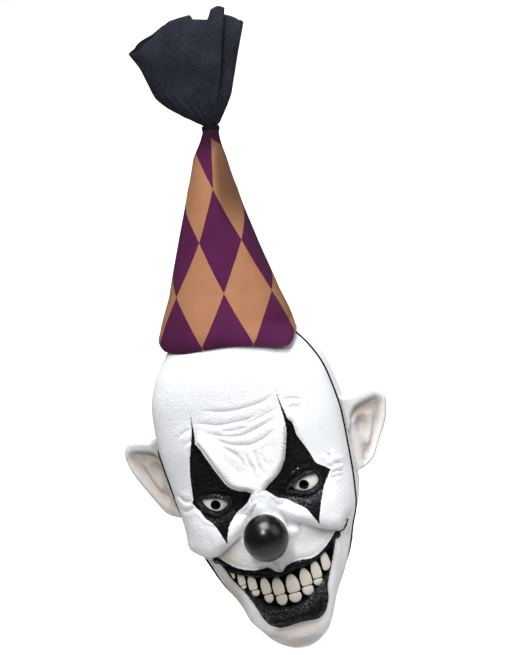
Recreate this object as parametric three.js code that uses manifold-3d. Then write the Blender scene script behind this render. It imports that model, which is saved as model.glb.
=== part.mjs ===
// A full-head clown mask in latex with a cloth cone hat, in millimetres.
// +Z is up and the face looks along -Y. The origin is inside the crown, where the wearer's head touches it.
import * as THREE from 'three';
import { mergeVertices } from 'three/addons/utils/BufferGeometryUtils.js';
import { ParametricGeometry } from 'three/addons/geometries/ParametricGeometry.js';
import Module from 'manifold-3d';

const wasm = await Module();
wasm.setup();

// Driving dimensions
const latexWall = 2;
const clothWall = 1.6;
const seamGap = 0.5;
const seatGap = 0.5;
const crownHeight = 163; // inside of the crown above the pupils
const crownDepth = 62; // crown behind the pupils
const neckHeight = -80; // flat neck rim, measured from the pupils
const eyeSpacing = 87.4;
const eyeHeight = -1.5;
const eyeDomeRadius = 24;
const eyeCapRadius = 15;
const eyeFront = 1.5;
const pupilRadius = 4.6;
const lidStandOff = 4.1;
const lidSpread = 20.4; // how far the lids reach from the middle of the eye
const noseCentre = [0, -26, -37];
const noseRadii = [21.5, 21.5, 23];
const hatSeat = [-3, 68.4, 133.5];
const hatLean = [-13.7, 8.6, 9.9].map(THREE.MathUtils.degToRad);
const hatTop = 206;
const stemRadius = 6.2;
const tieRadius = 7.7;
const tieThread = 1.1;
const tieLift = 0.4;

// Level rows of the head, from the crown to under the chin, measured from the point between the pupils.
// side is half the width at the seam, seam its depth, front and back the depths on the middle line.
const headRows = [
  { z: 165, side: 0, seam: 62, front: 62, back: 62 },
  { z: 159, side: 33, seam: 60, front: 30, back: 100 },
  { z: 148, side: 53, seam: 56, front: 9, back: 130 },
  { z: 131, side: 68.5, seam: 50, front: 0, back: 153 },
  { z: 117, side: 77.7, seam: 46, front: -3, back: 166 },
  { z: 100, side: 84.8, seam: 43, front: -4, back: 176 },
  { z: 81, side: 88, seam: 42, front: -4, back: 184 },
  { z: 58, side: 90, seam: 42, front: -5, back: 189 },
  { z: 40, side: 89.4, seam: 42, front: -6, back: 190 },
  { z: 20, side: 88, seam: 42, front: -6, back: 190 },
  { z: 5, side: 86.8, seam: 42, front: -5, back: 188 },
  { z: -9, side: 85.5, seam: 42, front: -4, back: 186 },
  { z: -26, side: 83, seam: 42, front: -3, back: 181 },
  { z: -42, side: 80, seam: 40, front: -2, back: 176 },
  { z: -59, side: 72.6, seam: 38, front: -2, back: 170 },
  { z: -80, side: 64.4, seam: 35, front: -1, back: 163 },
  { z: -99, side: 55.3, seam: 32, front: 0, back: 156 },
  { z: -118, side: 43.4, seam: 28, front: 0, back: 150 },
  { z: -138, side: 33.7, seam: 26, front: 2, back: 145 },
  { z: -148, side: 26, seam: 25, front: 6, back: 140 },
  { z: -155.5, side: 15.5, seam: 25, front: 13, back: 120 },
  { z: -160, side: 6, seam: 27, front: 24, back: 60 },
];
const lastRow = headRows.length - 1;
const facePower = 0.92; // roundness of the level sections, 1 for an ellipse
const backPower = 0.95;
const columnSpread = 0.2; // how much wider the outer columns of the face are
const seamFade = 0.25; // share of the half width in which the relief fades to the seam
const nape = { z: -32, high: 22, raise: 4 };

// Soft mounds and hollows on the face, the same on both sides of the middle line
const faceMounds = [
  { name: 'cheek', x: 50, z: -25, wide: 24, high: 18, raise: 9 },
  { name: 'brow', x: 24, z: 30, wide: 13, high: 24, raise: 5 },
  { name: 'noseBridge', x: 0, z: -8, wide: 11, high: 24, raise: 6 },
  { name: 'nostril', x: 19, z: -42, wide: 9, high: 9, raise: 7 },
  { name: 'upperLip', x: 20, z: -66, wide: 24, high: 10, raise: 6 },
  { name: 'mouthCorner', x: 61, z: -58, wide: 10, high: 8, raise: 4 },
  { name: 'lowerLip', x: 0, z: -122, wide: 30, high: 8, raise: 7 },
  { name: 'chin', x: 0, z: -147, wide: 18, high: 9, raise: 6 },
];

// Half outlines on the face, x out from the middle line and z up from the pupils
const socketOutline = [
  [43, 91], [50, 57], [58, 32], [62, 14], [69, 1.5], [60, -10], [50, -28], [46, -40],
  [36, -22], [24, -13], [12, -5], [6.7, 2.5], [18, 9], [28, 18], [36, 36], [43, 56],
];
const eyeOutline = [
  [30.5, -1.5], [38, 2.4], [45, 4.8], [52, 6], [57, 5], [55, -2], [50, -5], [44, -6.8], [37, -5],
];
const mouthHalf = [
  [0, -80], [20, -78], [36, -71], [48, -65], [57, -62],
  [52, -76], [43, -94], [34, -106], [20, -115], [0, -118],
];
const mouthOutline = [...mouthHalf, ...mouthHalf.slice(1, -1).reverse().map(([x, z]) => [-x, z])];
const socketDepth = 4;
const mouthDepth = 9;
const edgeWidth = 9;

// Teeth on one side of the middle line: x and z of the middle, width and height
const upperTeeth = [
  { x: 6.6, z: -94.5, width: 12, height: 17 },
  { x: 19.6, z: -91.8, width: 10.6, height: 16.5 },
  { x: 31, z: -87, width: 9.2, height: 15.5 },
  { x: 41.3, z: -81, width: 8.2, height: 15 },
];
const lowerTeeth = [
  { x: 6.5, z: -108.6, width: 11.6, height: 9.4 },
  { x: 18.8, z: -105, width: 10, height: 9 },
  { x: 29.6, z: -99.3, width: 8, height: 8 },
];
const toothFront = 1.5;
const toothArch = 0.0045; // how fast the rows of teeth curve back
const toothDepth = 14;
const toothBevel = 1.4;
const toothRound = 0.5;
const toothGap = 0.1; // share of a tooth's width left open beside it
const gumBehind = 1.5;
const gumShare = 0.55; // height of the gum band in tooth heights

// Ear: how far the flap stands out from the head at each height
const earRows = [
  { z: 57.5, reach: 4 },
  { z: 56.5, reach: 29 },
  { z: 53, reach: 39.5 },
  { z: 45, reach: 43 },
  { z: 34, reach: 41 },
  { z: 22, reach: 36.5 },
  { z: 9, reach: 30 },
  { z: -3, reach: 23.5 },
  { z: -11, reach: 17 },
  { z: -16, reach: 5 },
];
const earRoot = 61; // depth of the ear's root behind the pupils
const earDirection = [0.93, 0.36];
const earPlate = 4.6;
const earCup = 7;
const earSink = 1.2; // how far the root lies inside the wall

// Cone hat along its own axis: half width and how far the axis bends sideways
const hatRows = [
  { s: -14, radius: 67.5, shift: 0 },
  { s: 0, radius: 66.5, shift: 0 },
  { s: 15, radius: 65, shift: 0.5 },
  { s: 50, radius: 53, shift: 0.5 },
  { s: 100, radius: 38, shift: -1.5 },
  { s: 150, radius: 23.8, shift: -3.7 },
  { s: 180, radius: 16, shift: -3.5 },
  { s: 200, radius: 8.8, shift: -1.2 },
  { s: 206, radius: 8.2, shift: -0.5 },
];
// Lower edge of the hat by the angle from its front, and how far its cloth is spread forward over the brow
const hemRows = [
  { angle: -180, s: 0, spread: 0 },
  { angle: -90, s: 0, spread: 0 },
  { angle: -70, s: -3, spread: 0 },
  { angle: -45, s: -6, spread: 0 },
  { angle: 0, s: -2, spread: 4 },
  { angle: 30, s: -4, spread: 14 },
  { angle: 50, s: -6, spread: 26 },
  { angle: 65, s: -5, spread: 37 },
  { angle: 78, s: -1, spread: 44 },
  { angle: 90, s: 9, spread: 38 },
  { angle: 110, s: 18, spread: 0 },
  { angle: 180, s: 0, spread: 0 },
];
const spreadHeight = 24; // how far up the hat the spread cloth reaches
const hemRoll = 4;
const hemHeight = 9;
const hatCrowding = 1.15; // the hat's levels stand closer at the hem

// Gathered cloth above the hat: half width, half depth and sideways place of each level
const topknotRows = [
  { s: 192, wide: 5, deep: 5, shift: -0.5 },
  { s: 209.2, wide: stemRadius, deep: stemRadius, shift: -0.5 },
  { s: 213, wide: 11, deep: 8.5, shift: -2 },
  { s: 220, wide: 18.8, deep: 12, shift: -6.3 },
  { s: 230, wide: 28.8, deep: 16, shift: -11.3 },
  { s: 240, wide: 36.3, deep: 19, shift: -14.3 },
  { s: 255, wide: 41.8, deep: 22, shift: -15.8 },
  { s: 270, wide: 46.8, deep: 24, shift: -17.3 },
  { s: 283, wide: 52.9, deep: 25.5, shift: -20 },
  { s: 305, wide: 59.7, deep: 27, shift: -21.2 },
  { s: 323, wide: 64.5, deep: 28, shift: -22 },
];
// Top edge of the gathered cloth, by the angle from its front
const topknotRim = [
  { angle: -90, s: 284 },
  { angle: -52, s: 294 },
  { angle: -24, s: 304 },
  { angle: 10, s: 316 },
  { angle: 20, s: 311 },
  { angle: 32, s: 321 },
  { angle: 56, s: 313 },
  { angle: 90, s: 305.5 },
  { angle: 150, s: 310 },
  { angle: 190, s: 311 },
  { angle: 240, s: 298 },
  { angle: 270, s: 284 },
];
const stemShare = 1 / 3; // share of the levels that lie in the stem
const pleatCount = 9;
const pleatDepth = 0.07;
const pleatFrom = 6; // the pleats open between these two heights above the hat
const pleatTo = 60;
const topknotCrowding = 1.2;

const paint = {
  latex: { color: 0xefeff1, roughness: 0.55, metalness: 0 },
  eye: { color: 0xe6e2d8, roughness: 0.25, metalness: 0 },
  tooth: { color: 0xcdc4b8, roughness: 0.35, metalness: 0 },
  nose: { color: 0x1c1c22, roughness: 0.35, metalness: 0 },
  hatCloth: { color: 0x541f46, roughness: 0.85, metalness: 0 },
  topknotCloth: { color: 0x1e2028, roughness: 0.8, metalness: 0 },
  thread: { color: 0x121216, roughness: 0.9, metalness: 0 },
};

// Value on a smooth curve through one column of a table, at a row number
function smoothValue(rows, column, at, poleSign = 0) {
  const row = Math.min(Math.floor(at), rows.length - 2);
  const t = at - row;
  const b = rows[row][column];
  const c = rows[row + 1][column];
  const outside = poleSign ? b + poleSign * (c - b) : 2 * b - c;
  const before = row > 0 ? rows[row - 1][column] : outside;
  const after = row + 2 < rows.length ? rows[row + 2][column] : 2 * c - b;
  const bend = 2 * before - 5 * b + 4 * c - after;
  const twist = 3 * (b - c) + after - before;
  return b + 0.5 * t * (c - before + t * (bend + t * twist));
}

// Row number at which a table's key column passes a value
function rowAt(rows, key, value) {
  const rising = rows[rows.length - 1][key] > rows[0][key];
  const past = (row) => (rising ? row[key] > value : row[key] < value);
  const next = THREE.MathUtils.clamp(rows.findIndex(past), 1, rows.length - 1);
  const last = past(rows[rows.length - 1]) ? next : rows.length - 1;
  const from = rows[last - 1][key];
  return last - 1 + THREE.MathUtils.clamp((value - from) / (rows[last][key] - from), 0, 1);
}

const lookUp = (rows, key, value, column) => smoothValue(rows, column, rowAt(rows, key, value));

// The head's section at a row number; the crown is a pole, so the first row turns level
function headSection(at) {
  const level = (column) => smoothValue(headRows, column, at, 1);
  const spread = (column) => smoothValue(headRows, column, at, -1);
  return {
    z: level('z'),
    side: spread('side'),
    seam: level('seam'),
    front: spread('front'),
    back: spread('back'),
  };
}

const superSine = (angle, power) => Math.sign(Math.sin(angle)) * Math.abs(Math.sin(angle)) ** power;
const superCosine = (angle, power) => Math.abs(Math.cos(angle)) ** power;

// Signed distance to a closed outline, negative inside
function outlineDistance(outline, x, z) {
  let nearest = Infinity;
  let inside = false;
  outline.forEach(([ax, az], i) => {
    const [bx, bz] = outline[(i + 1) % outline.length];
    const along = ((x - ax) * (bx - ax) + (z - az) * (bz - az)) / ((bx - ax) ** 2 + (bz - az) ** 2);
    const t = THREE.MathUtils.clamp(along, 0, 1);
    nearest = Math.min(nearest, Math.hypot(x - ax - t * (bx - ax), z - az - t * (bz - az)));
    if ((az > z) !== (bz > z) && x < ax + ((z - az) * (bx - ax)) / (bz - az)) {
      inside = !inside;
    }
  });
  return inside ? -nearest : nearest;
}

// How far the face stands out from the plain head at a place
function faceRelief(x, z) {
  const across = Math.abs(x);
  const mounds = faceMounds.reduce((sum, mound) => {
    const dx = (across - mound.x) / mound.wide;
    const dz = (z - mound.z) / mound.high;
    return sum + mound.raise * Math.exp(-dx * dx - dz * dz);
  }, 0);
  const inSocket = THREE.MathUtils.smoothstep(-outlineDistance(socketOutline, across, z), 0, edgeWidth);
  const inMouth = THREE.MathUtils.smoothstep(-outlineDistance(mouthOutline, across, z), 0, edgeWidth);
  return mounds * (1 - inMouth) - socketDepth * inSocket - mouthDepth * inMouth;
}

// Depth of the domed eye behind the pupils' plane, out to the dome's own edge
function eyeDome(x, z) {
  const out = Math.hypot(Math.abs(x) - eyeSpacing / 2, z - eyeHeight);
  return eyeFront + eyeDomeRadius - Math.sqrt(Math.max(eyeDomeRadius ** 2 - out * out, 0));
}

// Front of the face: across runs from the right seam to the left one, up from the chin to the crown
function facePoint(across, up) {
  const section = headSection((1 - up) * lastRow);
  const spread = 2 * across - 1;
  const angle = (Math.PI / 2) * THREE.MathUtils.lerp(spread, spread ** 3, columnSpread);
  const x = section.side * superSine(angle, facePower);
  const reach = section.seam - seamGap / 2 - section.front;
  const y = section.seam - seamGap / 2 - reach * superCosine(angle, facePower);
  const slopeX = section.side > 0 ? x / section.side ** 2 : 0;
  const slopeY = reach > 0 ? (section.seam - y) / reach ** 2 : 1;
  const raise = faceRelief(x, section.z) / Math.max(Math.hypot(slopeX, slopeY), 1e-9);
  const fade = THREE.MathUtils.smoothstep(1 - Math.abs(spread), 0, seamFade);
  const carved = y - raise * slopeY * fade;
  const lid = eyeDome(x, section.z) - lidStandOff;
  const overEye = Math.hypot(Math.abs(x) - eyeSpacing / 2, section.z - eyeHeight) < lidSpread;
  const depth = overEye ? Math.min(carved, lid) : carved;
  return new THREE.Vector3(x + raise * slopeX * fade, depth, section.z);
}

const neckRow = rowAt(headRows, 'z', neckHeight);

// Back of the head: across runs from the left seam round the back, up from the neck rim to the crown
function backPoint(across, up) {
  const section = headSection((1 - up) * neckRow);
  const angle = (Math.PI / 2) * (1 - 2 * across);
  const start = section.seam + seamGap / 2;
  const swell = nape.raise * Math.exp(-(((section.z - nape.z) / nape.high) ** 2)) * Math.sin(2 * angle) ** 2;
  const x = section.side * superSine(angle, backPower) + Math.sign(angle) * swell;
  return new THREE.Vector3(x, start + (section.back - start) * superCosine(angle, backPower), section.z);
}

// Outward direction of a surface at a place
function outward(surface, across, up) {
  if (up > 0.999) {
    return new THREE.Vector3(0, 0, 1);
  }
  const step = 0.004;
  const along = surface(Math.min(across + step, 1), up).sub(surface(Math.max(across - step, 0), up));
  const rise = surface(across, Math.min(up + step, 1)).sub(surface(across, Math.max(up - step, 0)));
  return along.cross(rise).normalize();
}

// Welds a geometry's vertices, drops triangles that fall to a line and turns the faces outwards
function closedBody(geometry) {
  geometry.deleteAttribute('normal');
  geometry.deleteAttribute('uv');
  const welded = mergeVertices(geometry, 1e-4);
  const corners = welded.index.array;
  const [a, b, c] = [new THREE.Vector3(), new THREE.Vector3(), new THREE.Vector3()];
  const kept = [];
  let volume = 0;
  for (let i = 0; i < corners.length; i += 3) {
    const [p, q, r] = corners.subarray(i, i + 3);
    if (p !== q && q !== r && r !== p) {
      kept.push(p, q, r);
      a.fromBufferAttribute(welded.attributes.position, p);
      b.fromBufferAttribute(welded.attributes.position, q);
      c.fromBufferAttribute(welded.attributes.position, r);
      volume += a.dot(b.cross(c));
    }
  }
  welded.setIndex(volume < 0 ? kept.reverse() : kept);
  return welded;
}

// A wall between an outer and an inner surface, each given over the unit square
function slab(columns, rows, outer, inner) {
  const geometry = new THREE.BoxGeometry(1, 1, 1, columns, rows, 1);
  const position = geometry.attributes.position;
  for (let i = 0; i < position.count; i += 1) {
    const surface = position.getZ(i) > 0 ? outer : inner;
    const point = surface(position.getX(i) + 0.5, position.getY(i) + 0.5);
    position.setXYZ(i, point.x, point.y, point.z);
  }
  return closedBody(geometry);
}

// A wall that goes all the way round: outer up one side of the wall and inner down the other
function tubeWall(around, along, outer, inner) {
  const wall = (u, v, target) => {
    const surface = v < 0.5 || v > 1 - 1e-9 ? outer : inner;
    const turn = (v * (2 * along + 2)) % (2 * along + 2);
    const rise = turn <= along + 1e-6 ? turn / along : (2 * along + 1 - turn) / along;
    target.copy(surface(u > 1 - 1e-9 ? 0 : u, THREE.MathUtils.clamp(rise, 0, 1)));
  };
  return closedBody(new ParametricGeometry(wall, around, 2 * along + 2));
}

function solid(geometry) {
  const vertProperties = new Float32Array(geometry.attributes.position.array);
  return new wasm.Manifold(new wasm.Mesh({
    numProp: 3,
    vertProperties,
    triVerts: new Uint32Array(geometry.index.array),
  }));
}

function geometryOf(manifold) {
  const { vertProperties, triVerts } = manifold.getMesh();
  const geometry = new THREE.BufferGeometry();
  geometry.setAttribute('position', new THREE.BufferAttribute(new Float32Array(vertProperties), 3));
  geometry.setIndex(new THREE.BufferAttribute(new Uint32Array(triVerts), 1));
  return geometry;
}

function piece(name, manifold, look) {
  const mesh = new THREE.Mesh(geometryOf(manifold), new THREE.MeshStandardMaterial(paint[look]));
  mesh.name = name;
  return mesh;
}

const smoothOutline = (points, count) => new THREE.SplineCurve(
  [...points, points[0]].map(([x, z]) => new THREE.Vector2(x, z)),
).getPoints(count);

// A shape drawn on the front plane, x across and z up, carried along Y from near to far
function frontPrism(points, near, far) {
  const shape = new THREE.Shape(points);
  const prism = new THREE.ExtrudeGeometry(shape, { depth: far - near, bevelEnabled: false });
  return closedBody(prism.rotateX(Math.PI / 2).translate(0, far, 0));
}

const faceColumns = 28;
const faceLevels = 34;
const cutDepth = 40;

function faceInside(across, up) {
  return facePoint(across, up).addScaledVector(outward(facePoint, across, up), -latexWall);
}

const faceWall = solid(slab(faceColumns, faceLevels, facePoint, faceInside));
const behindFace = (across, up) => facePoint(across, up).add(new THREE.Vector3(0, cutDepth, 0));
const faceSeat = solid(slab(faceColumns, faceLevels, facePoint, behindFace)).translate([0, -seatGap, 0]);

function faceFront() {
  return [-1, 1].reduce((wall, side) => {
    const outline = smoothOutline(eyeOutline.map(([x, z]) => [side * x, z]), 20).slice(0, -1);
    return wall.subtract(solid(frontPrism(outline, -cutDepth, cutDepth)));
  }, faceWall);
}

// Ear flap: out runs from the root to the rim, up from the lobe to the top
function earSolid(side) {
  const plate = (out, up, skin) => {
    const at = (1 - up) * (earRows.length - 1);
    const z = smoothValue(earRows, 'z', at);
    const reach = smoothValue(earRows, 'reach', at);
    const head = headSection(rowAt(headRows, 'z', z));
    const rim = Math.sqrt(Math.max(1 - out ** 6, 0.04));
    const half = (earPlate / 2) * rim * (1 + 0.5 * (1 - out) ** 3);
    const cup = earCup * (0.25 - (out - 0.45) ** 2) * Math.sin(Math.PI * up);
    const across = cup + skin * half;
    const x = head.side - earSink + out * reach * earDirection[0] - across * earDirection[1];
    const y = earRoot + out * reach * earDirection[1] + across * earDirection[0];
    return new THREE.Vector3(side * x, y, z);
  };
  return solid(slab(5, 12, (o, u) => plate(o, u, -1), (o, u) => plate(o, u, 1)));
}

function headBack() {
  const inside = (across, up) => {
    const normal = outward(backPoint, across, up);
    if (up < 1e-6) {
      normal.setZ(0).normalize();
    }
    return backPoint(across, up).addScaledVector(normal, -latexWall);
  };
  const wall = solid(slab(20, 18, backPoint, inside));
  return wall.add(earSolid(1)).add(earSolid(-1));
}

// Round domed cap with the pupil hole through its middle
function eyeCap(side) {
  const arc = (radius) => {
    const points = [];
    for (let i = 0; i <= 2; i += 1) {
      const out = THREE.MathUtils.lerp(pupilRadius, eyeCapRadius, i / 2);
      points.push(new THREE.Vector2(out, Math.sqrt(radius * radius - out * out)));
    }
    return points;
  };
  const outer = arc(eyeDomeRadius);
  const profile = [...outer, ...arc(eyeDomeRadius - latexWall).reverse(), outer[0]];
  const cap = new THREE.LatheGeometry(profile, 20).rotateX(Math.PI);
  return solid(closedBody(cap.translate((side * eyeSpacing) / 2, eyeFront + eyeDomeRadius, eyeHeight)));
}

const archDepth = (x) => toothFront + toothArch * x * x;

// One row of teeth on a gum band, seated on the face behind the lips
function teethRow(rows) {
  const teeth = [-1, 1].flatMap((side) => rows.map(({ x, z, width, height }) => {
    const [w, h] = [width / 2, height / 2];
    const outline = [
      [-w, 0.35 * h], [-0.7 * w, 0.85 * h], [0, h], [0.7 * w, 0.85 * h], [w, 0.35 * h],
      [w, -0.6 * h], [0.75 * w, -h], [-0.75 * w, -h], [-w, -0.6 * h],
    ].map(([px, pz]) => new THREE.Vector2(px * (1 - toothGap), pz - Math.sign(pz) * toothRound));
    const tooth = new THREE.ExtrudeGeometry(new THREE.Shape(outline), {
      depth: toothDepth,
      bevelThickness: toothBevel,
      bevelSize: toothRound,
      bevelSegments: 1,
    });
    tooth.rotateX(Math.PI / 2).translate(0, toothDepth, 0).rotateZ(side * Math.atan(2 * toothArch * x));
    return solid(closedBody(tooth.translate(side * x, archDepth(x), z)));
  }));
  const middle = rows.map(({ x, z }) => ({ x, z }));
  const reach = rows[rows.length - 1].x;
  const band = (depth) => (across, up) => {
    const x = (2 * across - 1) * reach;
    const z = lookUp(middle, 'x', Math.max(Math.abs(x), middle[0].x), 'z');
    return new THREE.Vector3(x, archDepth(x) + depth, z + (up - 0.5) * gumShare * rows[0].height);
  };
  const gum = solid(slab(16, 2, band(gumBehind), band(toothDepth)));
  return teeth.reduce((row, tooth) => row.add(tooth), gum).subtract(faceSeat);
}

function noseBall() {
  const ball = new THREE.SphereGeometry(1, 22, 12).scale(...noseRadii).translate(...noseCentre);
  return solid(closedBody(ball)).subtract(faceSeat);
}

// Whole closed head, a little larger, that the hat's lower edge is cut to
function headForm() {
  const centre = 60;
  const swell = 1 + seatGap / centre;
  const skin = (u, v, target) => {
    const section = headSection(v * rowAt(headRows, 'z', 0));
    const angle = 2 * Math.PI * u;
    const ahead = Math.cos(angle) < 0;
    const depth = ahead ? section.seam - section.front : section.back - section.seam;
    const power = ahead ? facePower : backPower;
    const x = section.side * superSine(angle, power);
    const y = section.seam + Math.sign(Math.cos(angle)) * depth * superCosine(angle, power);
    target.set(x * swell, centre + (y - centre) * swell, section.z * swell);
    if (v > 1 - 1e-9) {
      target.set(0, centre, 0);
    }
  };
  return solid(closedBody(new ParametricGeometry(skin, 48, 40)));
}

const hatTurn = new THREE.Matrix4().makeRotationFromEuler(new THREE.Euler(...hatLean));
const hatFrame = hatTurn.setPosition(...hatSeat);

// Cone of the hat: round runs from the back, rise from the hem to the neck
function hatPoint(round, rise, inset) {
  const angle = 2 * Math.PI * round - Math.PI;
  const degrees = THREE.MathUtils.radToDeg(angle);
  const hem = lookUp(hemRows, 'angle', degrees, 's');
  const s = hem + (hatTop - hem) * rise ** hatCrowding;
  const roll = hemRoll * Math.max(1 - (s - hem) / hemHeight, 0) ** 2;
  const radius = lookUp(hatRows, 's', s, 'radius') - roll - inset;
  const shift = lookUp(hatRows, 's', s, 'shift');
  const spread = lookUp(hemRows, 'angle', degrees, 'spread') * Math.max(1 - (s - hem) / spreadHeight, 0);
  return new THREE.Vector3(shift + radius * Math.sin(angle), -radius * Math.cos(angle) - spread, s);
}

function hatCone() {
  const wall = tubeWall(28, 7, (u, v) => hatPoint(u, v, 0), (u, v) => hatPoint(u, v, clothWall));
  const head = geometryOf(headForm()).applyMatrix4(hatFrame.clone().invert());
  return solid(wall).subtract(solid(head));
}

// Gathered cloth: round runs from its left edge past the front, rise from the stem to the top edge
function topknotPoint(round, rise, inset) {
  const degrees = 360 * round - 90;
  const angle = THREE.MathUtils.degToRad(degrees);
  const [foot, neck] = topknotRows.map((row) => row.s);
  const spread = Math.max((rise - stemShare) / (1 - stemShare), 0) ** topknotCrowding;
  const stem = foot + (neck - foot) * Math.min(rise / stemShare, 1);
  const s = stem + (lookUp(topknotRim, 'angle', degrees, 's') - neck) * spread;
  const open = THREE.MathUtils.smoothstep(s, hatTop + pleatFrom, hatTop + pleatTo);
  const pleat = 1 - pleatDepth * open * (1 - Math.cos(pleatCount * (angle + Math.PI / 2)));
  const wide = lookUp(topknotRows, 's', s, 'wide') * pleat - inset;
  const deep = lookUp(topknotRows, 's', s, 'deep') * pleat - inset;
  const shift = lookUp(topknotRows, 's', s, 'shift');
  return new THREE.Vector3(shift + wide * Math.sin(angle), -deep * Math.cos(angle), s);
}

function topknotWall() {
  const outer = (round, rise) => topknotPoint(round, rise, 0);
  const inner = (round, rise) => topknotPoint(round, rise, clothWall);
  return solid(tubeWall(40, 6, outer, inner));
}

function tieRing() {
  const ring = new THREE.TorusGeometry(tieRadius, tieThread, 5, 20);
  return solid(closedBody(ring.translate(topknotRows[0].shift, 0, hatTop + tieThread + tieLift)));
}

const hat = new THREE.Group();
hat.position.set(...hatSeat);
hat.rotation.set(...hatLean);
hat.add(
  piece('hat_cone', hatCone(), 'hatCloth'),
  piece('neck_tie', tieRing(), 'thread'),
  piece('topknot', topknotWall(), 'topknotCloth'),
);

// Everything is measured from between the pupils, so one group carries it to the crown's origin
const mask = new THREE.Group();
mask.position.set(0, -crownDepth, -crownHeight);
mask.add(
  piece('face_front', faceFront(), 'latex'),
  piece('head_back', headBack(), 'latex'),
  piece('left_eye', eyeCap(1), 'eye'),
  piece('right_eye', eyeCap(-1), 'eye'),
  piece('nose_ball', noseBall(), 'nose'),
  piece('upper_teeth', teethRow(upperTeeth), 'tooth'),
  piece('lower_teeth', teethRow(lowerTeeth), 'tooth'),
  hat,
);

const part = new THREE.Group();
part.add(mask);

export default part;
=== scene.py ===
import bmesh
import bpy
import numpy as np
from mathutils import Euler, Matrix, Vector


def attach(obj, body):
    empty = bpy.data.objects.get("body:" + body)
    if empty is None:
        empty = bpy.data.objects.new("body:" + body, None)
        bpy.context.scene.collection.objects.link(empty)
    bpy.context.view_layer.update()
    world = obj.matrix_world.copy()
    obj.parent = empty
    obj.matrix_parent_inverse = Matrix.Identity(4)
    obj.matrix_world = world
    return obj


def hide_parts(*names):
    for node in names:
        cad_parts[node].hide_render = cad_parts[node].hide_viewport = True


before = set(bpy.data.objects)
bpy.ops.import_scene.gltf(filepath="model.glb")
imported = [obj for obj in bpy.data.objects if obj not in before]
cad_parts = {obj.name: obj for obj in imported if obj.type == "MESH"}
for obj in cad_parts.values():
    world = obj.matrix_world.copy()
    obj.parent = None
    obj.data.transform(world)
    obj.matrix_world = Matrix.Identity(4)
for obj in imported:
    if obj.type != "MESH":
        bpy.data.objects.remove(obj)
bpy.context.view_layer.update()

scene = bpy.context.scene
print("frame loaded:", len(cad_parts), "nodes")

# shapes are worked out in millimetres from between the pupils: x to the viewer's right, y back, z up
crown = np.array([0.0, 62.0, 163.0])  # the frame's origin in those measures


def toFrame(points):
    return (np.asarray(points, float) - crown) / 1000


# portrait plane: across and up as the camera sees the head before it leans
portraitAxes = np.array([[0.985, 0.174, 0.0], [-0.036, 0.205, 0.978]])


def portrait(points):
    return np.moveaxis(points @ portraitAxes.T, -1, 0)


# the point at depth y that shows at a place of the portrait plane
def fromPortrait(across, up, y):
    x = (across - portraitAxes[0, 1] * y) / portraitAxes[0, 0]
    z = (up - portraitAxes[1, 0] * x - portraitAxes[1, 1] * y) / portraitAxes[1, 2]
    return np.stack([x, y, z], -1)


# camera
view = {"azimuth": 10.0, "elevation": 12.0, "roll": 15.3, "distance": 6.0, "millimetresPerPixel": 0.95,
        "pixelsHigh": 655, "offset": (-2.4, 158.2), "sensor": 36.0}


def addCamera():
    azimuth, elevation, roll = np.radians([view["azimuth"], view["elevation"], view["roll"]])
    level = Vector((np.cos(azimuth), np.sin(azimuth), 0))
    away = Vector((np.sin(azimuth), -np.cos(azimuth), 0))
    back = away * np.cos(elevation) + Vector((0, 0, np.sin(elevation)))
    upright = back.cross(level)
    right = level * np.cos(roll) - upright * np.sin(roll)
    up = level * np.sin(roll) + upright * np.cos(roll)
    aim = Vector(toFrame([0, 0, 0])) + (right * view["offset"][0] + up * view["offset"][1]) / 1000
    data = bpy.data.cameras.new("photoCamera")
    data.sensor_width = view["sensor"]
    data.lens = view["sensor"] * view["distance"] / (view["pixelsHigh"] / 1000 * view["millimetresPerPixel"])
    data.clip_end = 100
    camera = bpy.data.objects.new("photoCamera", data)
    turn = Matrix((right, up, back)).transposed().to_4x4()
    camera.matrix_world = Matrix.Translation(aim + back * view["distance"]) @ turn
    scene.collection.objects.link(camera)
    scene.camera = camera


addCamera()
print("camera placed")


# curves and tables

def smoothstep(value, low, high):
    t = np.clip((value - low) / (high - low), 0, 1)
    return t * t * (3 - 2 * t)


def bell(value, width):
    return np.exp(-(value / width) ** 2)


# a soft mound: its middle, half width, half height and how far it stands out
def mound(out, z, middle, level, wide, high, height):
    return height * bell(out - middle, wide) * bell(z - level, high)


# rises from 0 to 1 over the first range and falls back over the second
def within(value, first, second):
    return smoothstep(value, *first) * (1 - smoothstep(value, *second))


# cubic through a column's values at row numbers; pole +1 mirrors the first step, so the curve starts level
def smoothColumn(values, at, pole=-1):
    values = np.asarray(values, float)
    row = np.clip(np.floor(at).astype(int), 0, len(values) - 2)
    t = at - row
    ends = values[0] + pole * (values[1] - values[0]), 2 * values[-1] - values[-2]
    padded = np.concatenate([[ends[0]], values, [ends[1]]])
    a, b, c, d = (padded[row + k] for k in range(4))
    return b + 0.5 * t * (c - a + t * (2 * a - 5 * b + 4 * c - d + t * (3 * (b - c) + d - a)))


# the same cubic read at values of the table's first column
def lookUp(table, key, column):
    table = np.asarray(table, float)
    at = np.interp(key, table[:, 0], np.arange(len(table)))
    return smoothColumn(table[:, column], at)


# a stroke's points with soft curves put between them
def smoothStroke(points, steps=5):
    points = np.asarray(points, float)
    at = np.linspace(0, len(points) - 1, steps * (len(points) - 1) + 1)
    return np.stack([smoothColumn(points[:, 0], at), smoothColumn(points[:, 1], at)], -1)


# length along lines of points up to each point
def lengthAlong(points, axis=0):
    step = np.linalg.norm(np.diff(points, axis=axis), axis=-1)
    return np.insert(np.cumsum(step, axis), 0, 0, axis)


def unitVectors(vectors):
    return vectors / np.maximum(np.linalg.norm(vectors, axis=-1, keepdims=True), 1e-6)


# which places lie within a margin of a line's box
def nearLine(line, x, z, margin):
    low, high = line.min(0) - margin, line.max(0) + margin
    return (x > low[0]) & (x < high[0]) & (z > low[1]) & (z < high[1])


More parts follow.
